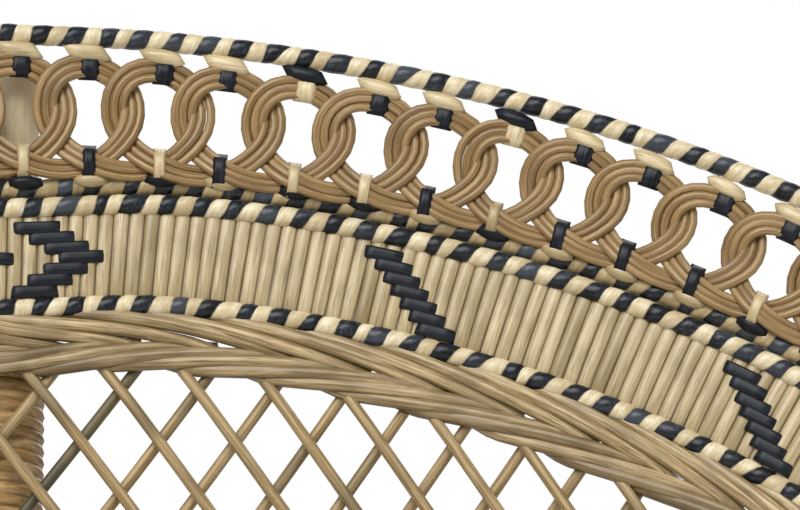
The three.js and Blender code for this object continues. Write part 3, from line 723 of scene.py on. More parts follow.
for node, (line, outward), turn_length, material in (
        ("outer_rim", outer_rim_line(), 14.5, rim_peel),
        ("back_rim", band_line(BACK_RIM_INSET, 3.0), 14.6, shaded_peel),
        ("panel_upper_rim", band_line(PANEL_UPPER_INSET), 14.5, rim_peel),
        ("panel_lower_rim", band_line(PANEL_LOWER_INSET), 14.6, rim_peel)):
    name = node + "_peel"
    values = {"Radius": RIM_RADIUS * mm, "Turn Length": turn_length * mm, "Bulge": 0.0004, "Sides": 12,
              "Unevenness": 0.0068, "Material": material}
    mesh = grow(name, wound_tree, drawn(name, [line], outward=[outward]), values)
    finish_piece(name, mesh, [node])

# %% [markdown]
# ## The ring band
# What looks like a row of rings is one long bundle of three canes that loops forward slower than it turns,
# as in joined handwriting. Where the bundle meets the loops beside it, it goes behind one and in front of
# the next. The rings' places are not quite even, because each is set by hand. Towards the chair's sides the
# rings are smaller, because the band narrows there.

# %% The rings' places along the band
RING_REACH, RING_MIDDLE, RING_SWING, RING_TILT = 23.4, 36.5, 27.0, 1.9
RING_MARGIN = 6.0
TAPER_REACH, TAPER_DEPTH, RING_TAPER, TOP_INSET, TOP_SINK = 200.0, 57.5, 10.2, 7.5, 2.2
FOOT_START, FOOT_DEPTH, FOOT_LIFT = 40.0, 22.0, 2.5
RING_STEPS = 32
# From one cane's middle to the next, at the rings' tops, at their sides and at their feet.
LANE_WIDTHS = [3.6, 3.7, 3.1]
RADIUS_SHARE = 0.56
# How far each crossing of two rings sits from its even place, from the crown to the right, and how far each
# ring's ties do. The others drift back to theirs.
LINK_SHIFTS = [-8.0, -9.5, -10.6, -10.6, -11.0, -10.4, -10.3, -12.1, -13.4, -13.4, -12.4]
TIE_SHIFTS = [-7.4, -9.5, -9.1, -13.3, -10.9, -10.2, -13.3, -13.1, -13.8, -14.3, -12.6, -13.0]
# The bundle's side at each crossing of a turn, in degrees: 1 is behind and -1 is in front.
CROSSINGS = [(0, 0.0), (29, 1.0), (69, -1.0), (133, 1.0), (180, 0.0), (227, -1.0), (291, 1.0), (331, -1.0),
             (360, 0.0)]
CROSSING_DEPTH = 2.0

ring_run = band_run(RING_MIDDLE)
ring_stretch = np.ptp(ring_run) - (RING_WIDTH - RING_PITCH) - 2 * CLEARANCE
ring_count = int(ring_stretch / RING_PITCH)
ring_spacing = ring_stretch / ring_count


def ring_settled(distance, inset):
    """The depth of a place in the ring band, whose tops sink and whose feet rise towards the sides."""
    share = distance ** 2 / (distance ** 2 + TAPER_REACH ** 2)
    return inset + share * (TOP_SINK - RING_TAPER * np.clip((inset - TOP_INSET) / TAPER_DEPTH, 0, 1))


def ring_lift(inset):
    """The rings' feet lie in front of the rod behind them."""
    return FOOT_LIFT * np.clip((inset - FOOT_START) / FOOT_DEPTH, 0, 1)


def hand_set(shifts, number):
    knots = [-ring_count / 2] + list(range(len(shifts))) + [ring_count / 2 - 1]
    return np.interp(number, knots, [0] + shifts + [0])


def ring_shift(phases):
    """A ring's right side moves with the crossing after it, and its left side with the one before it."""
    flank = phases / math.pi - 0.5
    sides = (np.floor(flank), np.floor(flank) + 1)
    before, after = (hand_set(LINK_SHIFTS, side // 2 - side % 2) for side in sides)
    return before + (after - before) * eased_share(flank % 1)


def crossing_depth(phases):
    knots, sides = zip(*CROSSINGS)
    share = np.interp(np.degrees(phases) % 360, knots, sides)
    return CROSSING_DEPTH * np.sin(share * math.pi / 2)


phases = np.linspace(-ring_count * math.pi, ring_count * math.pi, ring_count * RING_STEPS + 1)
ring_lengths = phases / (2 * math.pi) * ring_spacing + RING_SWING * np.sin(phases) + ring_shift(phases)
ring_lengths = np.clip(ring_lengths, ring_run[0] + RING_MARGIN, ring_run[-1] - RING_MARGIN)
ring_insets = RING_MIDDLE + RING_REACH * np.cos(phases) + RING_TILT * np.sin(phases)
print(ring_count, "rings,", round(ring_spacing, 2), "mm apart")

# %% [markdown]
# ## The three canes
# The canes run beside each other along the bundle's middle line, square to its slope, and a little closer
# together at the feet, where the bundle is pulled tight. Each wanders by a hair, as a hand lays it.

# %% Three canes beside each other
slope = np.column_stack([np.gradient(ring_lengths), np.gradient(ring_insets)])
slope /= np.linalg.norm(slope, axis=1, keepdims=True) + 1e-9
lane_widths = np.interp(np.cos(phases), [-1, 0, 1], LANE_WIDTHS)
ring_lines, ring_outward = [], []
for lane in (-1, 0, 1):
    wander = 0.2 * np.sin(phases * 0.37 + lane * 2.1) + 0.12 * np.sin(phases * 1.31 + lane)
    lengths = ring_lengths - slope[:, 1] * (lane * lane_widths + wander)
    insets = ring_insets + slope[:, 0] * (lane * lane_widths + wander)
    distances = np.interp(lengths, ring_run, rim_run)
    depths = ring_settled(distances, insets)
    ring_lines.append(on_back(distances, depths, crossing_depth(phases) - ring_lift(insets)))
    # A shorter direction gives the bundle's sides less of the painted shade between canes.
    ring_outward.append(0.6 * facing_out(distances, depths))
cane_piece("ring_canes", ring_lines, "rattan_cane", ["ring_band"], 8, ring_cane, tones=[0.2, 0.45, 0.3],
           radii=[lane_widths * RADIUS_SHARE * mm] * 3, outward=ring_outward)

# %% [markdown]
# ## The slat panel
# Flat natural peels stand side by side, square to the rims, and their ends are tucked behind them. Black
# peels are woven across in stepped figures: each floats over two or three slats, and each row starts a
# little further along. The slats are spaced along the panel's own middle line, and each leans a little, as
# hand work does.

# %% Slats and woven figures
SLAT_WIDTH, SLAT_THICKNESS, SLAT_PITCH = 6.5, 2.3, 6.38
# How far each slat runs past the panel, behind the rim above it and the rim below it.
SLAT_OVERLAP = 3.6
SLAT_TUCK, TUCK_SHARE = 2.0, 0.17
SLAT_MIDDLE = SLAT_TOP + SLAT_LENGTH / 2
rng = np.random.default_rng(11)
panel_run = band_run(SLAT_MIDDLE)
slat_count = int(np.ptp(panel_run) / SLAT_PITCH) // 2 * 2 - 1
slat_pitch = (np.ptp(panel_run) - 1.5) / slat_count


def slat_place(number):
    """The distance along the rim that belongs to a slat's number. Slat 0 stands at the crown."""
    return np.interp(number * slat_pitch, panel_run, rim_run)


slat_lines, slat_outward, slat_tones, slat_widths = [], [], [], []
for number in range(-(slat_count // 2), slat_count // 2 + 1):
    wander = rng.normal(0, 0.012, 2)
    share = np.linspace(0, 1, 9)
    distance = slat_place(number + wander[0] * (1 - share) + wander[1] * share)
    inset = SLAT_TOP - SLAT_OVERLAP + (SLAT_LENGTH + 2 * SLAT_OVERLAP) * share
    depth = settled(distance, inset)
    # Both ends dive behind the rims.
    tucked = SLAT_TUCK * np.clip(1 - np.minimum(share, 1 - share) / TUCK_SHARE, 0, 1)
    slat_lines.append(on_back(distance, depth, -0.1 + rng.normal(0, 0.12) + tucked))
    beside, before = (on_back(slat_place(number + side), depth) for side in (0.5, -0.5))
    slat_widths.append(np.linalg.norm(beside - before, axis=1) / SLAT_PITCH)
    slat_outward.append(-facing_out(distance, depth))
    slat_tones.append(rng.beta(1.3, 2.0))
mesh = drawn("slats", slat_lines, tones=slat_tones, radii=slat_widths, outward=slat_outward)
slats = grow("slats", peel_tree, mesh, {"Width": SLAT_WIDTH * mm, "Thickness": SLAT_THICKNESS * mm,
                                        "Material": slat_peel})

FIGURE_ROWS, FIGURE_PITCH, FIGURE_SLANT = 7, 25, 0.78
WEFT_WIDTH, WEFT_THICKNESS = 5.6, 0.9
# How many slats a black peel spans, with the parts that dive behind them at its ends.
CHEVRON_REACH, FIGURE_REACH = 3.7, 3.0
CHEVRON_STARTS = [0, 1, 2, 3, 2, 1, 0]

# A chevron stands at the crown, and slanting figures along the rest: each peel's row, first slat and reach.
figure_rows = range(FIGURE_ROWS)
peel_places = [(row, first + CHEVRON_STARTS[row], CHEVRON_REACH)
               for row in figure_rows for first in (-5.4, 0.6)]
for figure in range(1, int(slat_count / 2 / FIGURE_PITCH) + 1):
    middles = [FIGURE_PITCH * figure + (row - 3) * FIGURE_SLANT + 2.8 for row in figure_rows]
    peel_places += [(row, side * middles[row] - FIGURE_REACH / 2, FIGURE_REACH)
                    for side in (-1, 1) for row in figure_rows]
figure_lines, figure_outward = [], []
share = np.linspace(0, 1, 11)
for row, first, reach in peel_places:
    number = first + share * reach
    if abs(number).max() > slat_count / 2 - 1:
        continue
    distance = slat_place(number)
    inset = SLAT_TOP + 2.1 + (row + 0.5) * (SLAT_LENGTH - 2.4) / FIGURE_ROWS
    depth = settled(distance, inset + rng.normal(0, 0.12))
    # The peel lies on top of its slats and dives behind the next ones at both ends.
    lift = 3.1 * np.clip(np.sin(share * math.pi) * 2.2, 0, 1) ** 0.6 - 0.6
    figure_lines.append(on_back(distance, depth, -lift))
    figure_outward.append(-facing_out(distance, depth))
mesh = drawn("figures", figure_lines, tones=rng.uniform(0, 0.7, len(figure_lines)), outward=figure_outward)
figures = grow("figures", peel_tree, mesh, {"Width": WEFT_WIDTH * mm, "Thickness": WEFT_THICKNESS * mm,
                                            "Material": dyed_peel})
finish_piece("slats", slats, ["slat_panel"])
finish_piece("woven_figures", figures)
print(slat_count, "slats,", len(figure_lines), "black peels")

# %% [markdown]
# ## The lattice
# Two families of stakes cross without interlacing. Seen from the front, those that fall to the right lie in
# front. Each is a bare core rod of five millimetres. The stakes rise from the seat at an even pitch,
# measured along the seat's hoop, so they are straight when the wall is laid flat. They are clipped where
# the border hides their ends.

# %% Stakes of the lattice
STAKE_PITCH, STAKE_SLANT = 35.5, math.radians(39)
LATTICE_FOOT = SEAT_LEVEL + HOOP_RADIUS + CLEARANCE + STAKE_RADIUS
LATTICE_TOP_INSET = 141.0
# The stakes draw together a little on their way up: by how much, as millimetres per square millimetre of
# distance from the middle, within which distance it grows, and over which rise it sets in.
STAKE_DRIFT, DRIFT_REACH, DRIFT_RISE = 0.00055, 400.0, 800.0
# Near the border the front stakes bend back and go behind it.
TUCK_DEPTH, TUCK_LENGTH = 2.4, 24.0
OLIVE_TONE = 0.95
# A stake is drawn in steps of height. What would be shorter than the fewest steps is left out.
HEIGHT_STEP, FEWEST_STEPS, TALLEST = 2.0, 8, 1100

# The lattice's edge on the wall laid flat: the border on top, and the seat at the bottom.
edge = read_grid(band_chart, rim_run, settled(rim_run, LATTICE_TOP_INSET))
edge = edge[edge[:, 1] > LATTICE_FOOT + 2]
corner = FRONT_ANGLE * SEAT_RADIUS - 1.5
lattice_edge = np.vstack([edge, [[corner, LATTICE_FOOT], [-corner, LATTICE_FOOT]]])


def inside_lattice(s, height):
    """Whether a place on the flat wall lies within the lattice, by counting the edges crossed below it."""
    result = np.zeros(len(s), bool)
    for (x0, z0), (x1, z1) in zip(lattice_edge, np.roll(lattice_edge, -1, axis=0)):
        if x0 == x1:
            continue
        spans = (s >= min(x0, x1)) & (s < max(x0, x1))
        crossing = z0 + (z1 - z0) * (s - x0) / (x1 - x0)
        result ^= spans & (crossing > height)
    return result


def stake_lines(direction, offset):
    lines = []
    slope = direction * math.tan(STAKE_SLANT)
    widest = int(np.abs(edge[:, 0]).max() / STAKE_PITCH) + int(TALLEST * abs(slope) / STAKE_PITCH) + 2
    heights = np.arange(LATTICE_FOOT, CROWN_LEVEL, HEIGHT_STEP)
    for number in range(-widest, widest):
        s = (number + 0.5) * STAKE_PITCH + slope * (heights - LATTICE_FOOT)
        rise = np.clip((heights - LATTICE_FOOT) / DRIFT_RISE, 0, 1)
        s = s - rise * STAKE_DRIFT * s * np.abs(s) / (1 + (s / DRIFT_REACH) ** 2)
        inside = inside_lattice(s, heights)
        bounds = np.flatnonzero(np.diff(np.concatenate([[0], inside.astype(int), [0]])))
        for first, last in zip(bounds[::2], bounds[1::2]):
            if last - first < FEWEST_STEPS:
                continue
            h = heights[first:last:3]
            turns = s[first:last:3] / bend_radius(h)
            shift = offset + np.sin(h / 61 + number * 2.3) * 0.2
            if direction < 0:
                from_end = heights[last - 1] - h
                # A stake that starts at the border, not on the seat, goes behind it there too.
                if h[0] > LATTICE_FOOT + 12:
                    from_end = np.minimum(from_end, h - h[0])
                shift = shift + (TUCK_DEPTH - offset) * eased_share(1 - from_end / TUCK_LENGTH)
            lines.append(wall_point(turns, h) + wall_directions(turns, h)[2] * shift[:, None])
    return lines


def stake_tones(count, olive_share):
    """A tone for each stake, mostly fresh, with a share of them olive."""
    tones = rng.beta(1.4, 5.0, count) * 0.9
    tones[rng.random(count) < olive_share] = OLIVE_TONE
    return tones


for name, direction, olive_share in (("lattice_front", -1, 0.03), ("lattice_back", 1, 0.09)):
    lines = stake_lines(direction, direction * STAKE_OFFSET)
    cane_piece(name + "_stakes", lines, "lattice_stake", [name], 8, stake_cane,
               tones=stake_tones(len(lines), olive_share), radii=STAKE_RADIUS * mm)
    print(len(lines), "stakes in", name)

# %% [markdown]
# ## The plaited border
# Above the lattice the stakes' ends are turned over and plaited flat. Two groups of strands lean towards
# each other. Those above start behind the rim and run down to the middle, and those below start at the edge
# and run up to it. Each strand lies in front along its middle and dives behind its neighbours at both ends.
# One curve for each group, repeated at the stakes' pitch, makes the whole plait.

# %% Strands of the border
BRAID_PITCH, BRAID_LENGTH, BRAID_RADIUS = 33.4, 130.0, 3.05
BRAID_MIDDLE_INSET, BRAID_MARGIN = 139.2, 2.0

border_run = band_run(BRAID_MIDDLE_INSET)
border_stretch = np.ptp(border_run) - BRAID_LENGTH - 2 * BRAID_MARGIN
strand_count = int(border_stretch / BRAID_PITCH)
share = np.linspace(0, 1, 25)
# The depth below the rim along a strand of each group, and how far its middle stands in front of its ends.
upper_inset = 122.0 + 17.9 * share + 1.5 * eased_share((share - 0.88) / 0.12)
lower_inset = 149.2 - 9.8 * eased_share((share - 0.1) / 0.9) - 4.0 * (1 - eased_share(share * 6))
lower_inset = lower_inset - 1.2 * eased_share((share - 0.88) / 0.12)
lower_lift = 5.2 * np.sin(share * math.pi) ** 0.8 - 2.6
upper_lift = 5.8 * np.sin(np.clip(share / 0.9 - 0.111, 0, 1) * math.pi) ** 0.8 - 2.8
border_start, border_end = border_run[0] + BRAID_MARGIN, border_run[-1] - BRAID_MARGIN

# The lower group is given a darker tone than the upper one: painted shade.
for name, insets, shift, lift, age in (("border_braid_upper", upper_inset, 0.0, upper_lift, 0.0),
                                       ("border_braid_lower", lower_inset, -6.0, lower_lift, 0.42)):
    lines, outward = [], []
    for first in border_start + shift + np.linspace(0, border_stretch, strand_count + 1):
        lengths = np.clip(first + rng.normal(0, 1.0) + BRAID_LENGTH * share, border_start, border_end)
        distance = np.interp(lengths, border_run, rim_run)
        inset = insets + rng.normal(0, 0.25) + rng.normal(0, 0.35) * np.sin(share * math.pi)
        depth = settled(distance, inset)
        lines.append(on_back(distance, depth, 0.4 - lift))
        outward.append(facing_out(distance, depth))
    radii = BRAID_RADIUS * mm * rng.normal(1, 0.03, len(lines))
    cane_piece(name + "_strands", lines, "braid_cane", [name], 10, braid_cane, radii=radii, outward=outward,
               tones=age + (1 - age) * rng.beta(1.5, 3.0, len(lines)))
print(2 * (strand_count + 1), "strands in the border")

# %% [markdown]
# ## The spine pole
# A thick pole stands behind the back's middle. It rises from the floor to the seat, bends, and leans back
# with the wall. Behind the lattice it is wound with cane, which protects it, and its bare top shows through
# the rings. A pole has a slight ridge where each leaf grew, so its radius swells there.

# %% The pole and its winding
SPINE_Y = 293.4816
KNEE_REACH = 26.0
SPINE_OFFSET = (STAKE_OFFSET + STAKE_RADIUS + CLEARANCE + SPINE_RADIUS + 3) / math.cos(LEAN)
KNEE_LEVEL = SEAT_LEVEL + (SPINE_Y - SEAT_RADIUS - SPINE_OFFSET) / math.tan(LEAN)
SPINE_TOP = CROWN_LEVEL - 20.5 * math.cos(LEAN)


def ridged(lengths, radius, spacing, ridge):
    """A pole's radius along its length, in metres, with a ridge at each spacing."""
    away = np.abs((lengths / spacing + 0.37) % 1 - 0.5) * spacing
    return radius * mm * (1 + ridge * np.exp(-(away / 4.0) ** 2) + 0.012 * np.cos(lengths / spacing * 6.28))


def spine_line(levels):
    """The pole's middle line, upright below its knee and leaning above it."""
    above = levels - KNEE_LEVEL
    bend = np.clip((above + KNEE_REACH) / (2 * KNEE_REACH), 0, 1) ** 2 * KNEE_REACH
    bend = np.where(np.abs(above) < KNEE_REACH, bend, np.maximum(above, 0))
    return np.column_stack([0 * levels, SPINE_Y + bend * math.tan(LEAN), levels])


levels = np.concatenate([[0.0, 0.4], np.linspace(1.5, SPINE_TOP - 2.5, 300), [SPINE_TOP - 0.7, SPINE_TOP]])
radius = ridged(levels, SPINE_RADIUS - 0.4, 262.0, 0.02)
# Both ends are cut with a narrow bevel, wider at the top.
radius[[0, -2, -1]] -= [0.0012, 0.0007, 0.0022]
cane_piece("spine_pole_skin", [spine_line(levels)], "rattan_pole", ["spine_pole"], 24, brightened_pole, tones=0.1,
           radii=[radius])

bound = np.linspace(KNEE_LEVEL + 22, CROWN_LEVEL - PANEL_LOWER_INSET * math.cos(LEAN), 260)
line = spine_line(bound)
facing = np.tile([0.0, math.cos(LEAN), -math.sin(LEAN)], (len(line), 1))
mesh = drawn("binding", [line], outward=[facing])
values = {"Radius": 0.0193, "Turn Length": 2 * 5.1 * mm, "Bulge": 0.0011, "Sides": 28,
          "Unevenness": 0.0016, "Material": binding_cane}
binding = grow("binding", wound_tree, mesh, values)
finish_piece("spine_winding", binding, ["spine_binding"])
print("pole leans above", round(KNEE_LEVEL), "mm")

# %% [markdown]
# ## Lashings on the rings
# Each ring is tied twice. At its top a short peel crosses to the outer rim, and under it a tie holds the
# three canes together. At its foot another tie goes over the place where the bundle crosses itself, and a
# lozenge of peel covers the knot on the rod behind. A tree sets a thin pad on each point and then shapes it
# by the values that the point carries: its size, its slant, how pointed it is and how its ends turn under.

# %% A tree for lashings
PAD_GRID = {"Size": (1, 1, 1), "Vertices X": 7, "Vertices Y": 5, "Vertices Z": 2}

pad_tree, add, start = new_tree("Pads of peel on points", {})
vectors = {label: add(READ, label, data_type="FLOAT_VECTOR")
              for label in ("right", "up", "front", "middle", "size", "turned", "local")}
slant, pointed, upright, tone = (add(READ, label) for label in ("slant", "pointed", "upright", "tone"))
width, length, thickness = add("ShaderNodeSeparateXYZ", vectors["size"]).node.outputs
place = add("GeometryNodeInputPosition")
cube = add(STORE, add("GeometryNodeMeshCube", PAD_GRID), None, "local", place, data_type="FLOAT_VECTOR")
pads = add("GeometryNodeInstanceOnPoints", {"Points": start["Geometry"], "Instance": cube})
pads = add("GeometryNodeRealizeInstances", pads)
x, y, z = add("ShaderNodeSeparateXYZ", vectors["local"]).node.outputs

# One in the middle of the pad and nothing at its ends. A high power makes it flat with steep ends.
height = thickness
for axis, power in zip((x, y), add("ShaderNodeSeparateXYZ", vectors["turned"]).node.outputs):
    reach = add("MINIMUM", add("MULTIPLY", add("ABSOLUTE", axis), 2.0), 0.999)
    height = add("MULTIPLY", height, add("SUBTRACT", 1.0, add("POWER", reach, power)))
lifted = add("MULTIPLY", height, add("GREATER_THAN", z, 0.0))

# A pointed pad is shorter towards both sides, and a slanting one leans to the right as it rises.
narrow = add("MULTIPLY", add("POWER", add("MULTIPLY", add("ABSOLUTE", x), 2.0), 2.2), pointed)
along_up = add("MULTIPLY", add("MULTIPLY", y, length), add("SUBTRACT", 1.0, narrow))
along_right = add("MULTIPLY_ADD", slant, along_up, add("MULTIPLY", x, width))
moved = vectors["middle"]
for label, amount in (("right", along_right), ("up", along_up), ("front", lifted)):
    arm = add(VECTOR_MATH, {0: vectors[label], "Scale": amount}, operation="SCALE")
    moved = add(VECTOR_MATH, moved, arm)

# What the material reads: an upright pad has its fibres up and down, and another one from side to side.
fibre_side = add(MIX, {0: upright, 2: y, 3: x})
fibre_run = add("ADD", add(MIX, {0: upright, 2: along_right, 3: along_up}), tone)
girth = add(VECTOR_MATH, {0: add("ShaderNodeCombineXYZ", fibre_side, lifted), "Scale": 2.4},
            operation="SCALE")
pads = add(STORE, pads, None, "girth", girth, data_type="FLOAT_VECTOR")
pads = add(STORE, pads, None, "along", fibre_run)
end_tree(pad_tree, add("GeometryNodeSetPosition", pads, None, moved), start["Material"])

# %% [markdown]
# ## Where each lashing sits
# The tops of the rings give the places. Colours change from ring to ring, as on the real chair, where the
# weaver took black and natural peel in turn without a strict rule. A row of letters sets them and is used
# over and over.

# %% Place the lashings
FOOT_COLOURS = "ndndnndndddn"
TOP_COLOURS = "nnnndnndnnnn"
OTHER_COLOUR = {"d": "n", "n": "d"}
pad_rows = {"d": [], "n": []}


def pad(colour, distance, inset, lift, size, turned, slant=0.0, pointed=0.0, upright=0.0, tone=0.0,
        band=ring_settled):
    depth = band(distance, inset)
    middle = on_back(distance, depth, -lift)
    right = unit(on_back(distance + 1.5, band(distance + 1.5, inset), -lift) - middle)
    front = -facing_out(distance, depth)
    pad_rows[colour].append({
        "middle": (middle + [0, SEAT_MIDDLE_Y, 0]) * mm, "right": right, "up": unit(np.cross(front, right)),
        "front": front, "size": np.array(size) * mm, "turned": turned, "slant": slant, "pointed": pointed,
        "upright": upright, "tone": tone})


top_phases = np.pi * (2 * np.arange(-(ring_count // 2) - 1, ring_count // 2 + 1) + 1)
top_phases = top_phases[np.abs(top_phases) < ring_count * math.pi - 1]
top_numbers = top_phases / (2 * math.pi) - 0.5
top_lengths = top_phases / (2 * math.pi) * ring_spacing + hand_set(TIE_SHIFTS, top_numbers)
nearest = int(np.argmin(np.abs(top_phases - math.pi)))
for ring, length in enumerate(top_lengths):
    order = (ring - nearest) % len(FOOT_COLOURS)
    distance = np.interp(length, ring_run, rim_run)
    tone = rng.uniform(0, 0.6)
    top, foot = TOP_COLOURS[order], FOOT_COLOURS[order]
    # Towards the chair's sides the rings lean, and the peels over their tops grow more pointed.
    pointed = 0.12 + 0.25 * rng.random() + 0.3 * min(abs(length) / 260, 1)
    pad(top, distance - 1.3, 7.0, 1.4, (17.6, 8.0, 3.0), (5.0, 2.4, 0), -0.72, pointed, tone=tone)
    pad(OTHER_COLOUR[top], distance, 13.9, 0.5, (9.2, 11.0, 2.5), (9.0, 9.0, 0), upright=1.0, tone=tone)
    width, least_tone = (6.9, 0.3) if foot == "d" else (5.9, 0.45)
    pad(foot, distance + 2.2, 56.9, 2.2, (width, 15.4, 4.6), (9.0, 5.0, 0), -0.08, upright=1.0,
        tone=least_tone + 0.5 * rng.random())
    pad(OTHER_COLOUR[foot], distance + 3.4, 66.6, 1.6, (14.5, 6.6, 3.0), (3.0, 2.4, 0), -0.2, 0.5, tone=0.8,
        band=settled)

for name, colour, material in (("dyed_lashings", "d", dyed_peel), ("natural_lashings", "n", lashing_peel)):
    mesh = bpy.data.meshes.new(name)
    mesh.vertices.add(len(pad_rows[colour]))
    for label in pad_rows[colour][0]:
        carry(mesh, label, [row[label] for row in pad_rows[colour]])
    mesh = grow(name, pad_tree, mesh, {"Material": material})
    finish_piece(name, mesh)
print(sum(len(rows) for rows in pad_rows.values()), "pads of peel")

# %% [markdown]
# # The seat
# A pole bent into a hoop carries the seat, and crossed bars stiffen it. A real pole's two ends are cut to
# long slants and nailed, so the hoop is one round line. Poles swell a little where each leaf grew.

# %% Hoop and bars of the seat
# A full turn and a hair more, so that the two ends of a closed line meet.
FULL_TURN = 2 * math.pi + 0.004
POLE_RIDGE, POLE_SLACK = 0.028, 0.04
BEVEL_DEPTH, BEVEL_LENGTH = 0.8, 1.2


def hoop_line(radius, level, start):
    return round_line(start + np.linspace(0, FULL_TURN, 200), radius, level)


def pole(name, node, line, radius, ridge_spacing, slot="rattan_pole", sides=16, material=pole_cane,
         ends_shaped=False):
    """A pole along a line, with ridges and perhaps with bevelled ends, in place of the node's solid."""
    lengths = run_along(line)
    radii = ridged(lengths, radius, ridge_spacing, POLE_RIDGE) - POLE_SLACK * radius * mm
    if ends_shaped:
        from_end = np.minimum(lengths, lengths[-1] - lengths)
        radii = radii - BEVEL_DEPTH * mm * np.clip(1 - from_end / BEVEL_LENGTH, 0, 1)
    cane_piece(name, [line], slot, [node], sides, material, tones=rng.uniform(0, 0.4), radii=[radii])


def bar(node, spacing=120.0):
    """A straight pole that fills the box of its node."""
    low, high = (np.array(corner) / mm - [0, SEAT_MIDDLE_Y, 0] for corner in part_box(node))
    middle, reach = (low + high) / 2, (high - low) / 2
    axis = int(np.argmax(reach))
    share = np.concatenate([[-1, -0.997], np.linspace(-0.98, 0.98, 60), [0.997, 1]])
    line = np.tile(middle, (len(share), 1))
    line[:, axis] += share * reach[axis]
    pole(node + "_pole", node, line, reach[(axis + 1) % 3], spacing, ends_shaped=True)


pole("seat_hoop_pole", "seat_hoop", hoop_line(SEAT_RADIUS, SEAT_LEVEL, 1.9), HOOP_RADIUS, 310.0)
for side in ("cross", "front", "rear"):
    bar("seat_bar_" + side)
print("seat frame ready")

# %% [markdown]
# ## The woven seat
# The seat is woven like a basket's base. Spokes run out from the middle, and two canes go round and round
# together, one above the spokes and one below, so the seat is thick and closed on both faces. Each cane
# sinks in at every second spoke, and an odd number of spokes makes each round the opposite of the last.
# Towards the edge the spokes are far apart, so more are put in. Two canes twisted round each other finish
# the edge.

# %% Spokes, rounds and edge
WEAVE_LEVEL, LAYER_RISE = 446.35, 1.9
WEAVE_RADIUS = 239.2
INNER_SPOKES, OUTER_SPOKES = 25, 51
CHANGE_RADIUS = 96.0
ROUND_PITCH = 4.15
WEAVE_SWING = 0.95
SPOKE_RADIUS = 2.4
EDGE_TWISTS = 60


def weaving_round(first, last, spokes, side):
    """One cane that goes round from one radius to another, above or below the spokes."""
    turns = (last - first) / ROUND_PITCH
    share = np.linspace(0, 1, int(turns * spokes * 4) + 1)
    angle = share * turns * 2 * math.pi
    radius = first + (last - first) * share
    level = WEAVE_LEVEL + side * LAYER_RISE + WEAVE_SWING * np.cos(angle * spokes / 2)
    return round_line(angle, radius, level)


for name, side, replaced in (("seat_upper_rounds", 1, ["seat_weave"]), ("seat_lower_rounds", -1, [])):
    rounds = [weaving_round(11, CHANGE_RADIUS, INNER_SPOKES, side),
              weaving_round(CHANGE_RADIUS + 1, WEAVE_RADIUS - 5.2, OUTER_SPOKES, side)]
    cane_piece(name, rounds, "seat_cane", replaced, 5, seat_cane, tones=[0.25, 0.45], radii=2.15 * mm)

spokes = []
last = WEAVE_RADIUS - 3
for count, first in ((INNER_SPOKES, 7.0), (OUTER_SPOKES, CHANGE_RADIUS - 8)):
    radius = np.linspace(first, last, int((last - first) / ROUND_PITCH * 2) + 1)
    level = WEAVE_LEVEL - 0.4 * np.cos(math.pi * radius / ROUND_PITCH)
    spokes += [round_line(2 * math.pi * (number + 0.5) / count, radius, level) for number in range(count)]
cane_piece("seat_spokes", spokes, "seat_cane", [], 6, seat_cane, tones=rng.uniform(0.2, 0.7, len(spokes)),
           radii=SPOKE_RADIUS * mm)

# A small coil fills the middle, and two canes twisted round each other run along the edge.
share = np.linspace(0, 1, 90)
edge_lines = [round_line(share * 6 * math.pi, 2.0 + 10 * share, WEAVE_LEVEL + 2.5)]
angle = np.linspace(0, 2 * math.pi + 0.01, 721)
for phase in (0, math.pi):
    twist = angle * EDGE_TWISTS + phase
    edge_lines.append(round_line(angle, WEAVE_RADIUS - 1.9 + 1.6 * np.cos(twist),
                                 WEAVE_LEVEL + 2.5 * np.sin(twist)))
cane_piece("seat_edge", edge_lines, "seat_cane", [], 7, seat_cane, tones=[0.3, 0.2, 0.5],
           radii=SPOKE_RADIUS * mm)
print(len(spokes), "spokes in the woven seat")

# %% [markdown]
# # The base
# The base is a waisted drum. Straight stakes run from the floor hoop to the seat hoop, twisted by a quarter
# turn on the way, one family each way. Straight lines twisted like this draw the drum in at its waist all
# by themselves. Hoops inside and outside hold the waist, and plaits cover both ends.

# %% Hoops, bars and posts of the base
FLOOR_RADIUS = 242.0
BASE_TOP, BASE_BOTTOM = 414.65, 26.35
pole("floor_hoop_pole", "floor_hoop", hoop_line(FLOOR_RADIUS, HOOP_RADIUS, 4.1), HOOP_RADIUS, 290.0)
for side in ("cross", "front", "rear"):
    bar("floor_bar_" + side)
for side in ("left", "right", "front", "rear"):
    bar("leg_post_" + side, 150.0)
for name, radius, level in (("waist_hoop_outer", 197.35, 213.6), ("waist_hoop_inner", 169.0, 213.2)):
    pole(name + "_cane", name, hoop_line(radius, level, 2.6), 6.0, 240.0, "braid_cane", 12, braid_cane)
print("base frame ready")

# %% [markdown]
# ## Stakes of the base
# Each stake is a straight core rod. The outer family turns one way round the drum and the inner family the
# other, so from any side they cross in diamonds. As in the lattice above, a few rods are olive.

# %% Both families of stakes
BASE_STAKES, BASE_TWIST = 24, math.radians(84)
BASE_STAKE_RADIUS = 3.88
# How far each family stands off the hoops' middle line, and how far its stakes run into the plaits.
STAKE_GAP, STAKE_OVERLAP = 5.99, 3.6

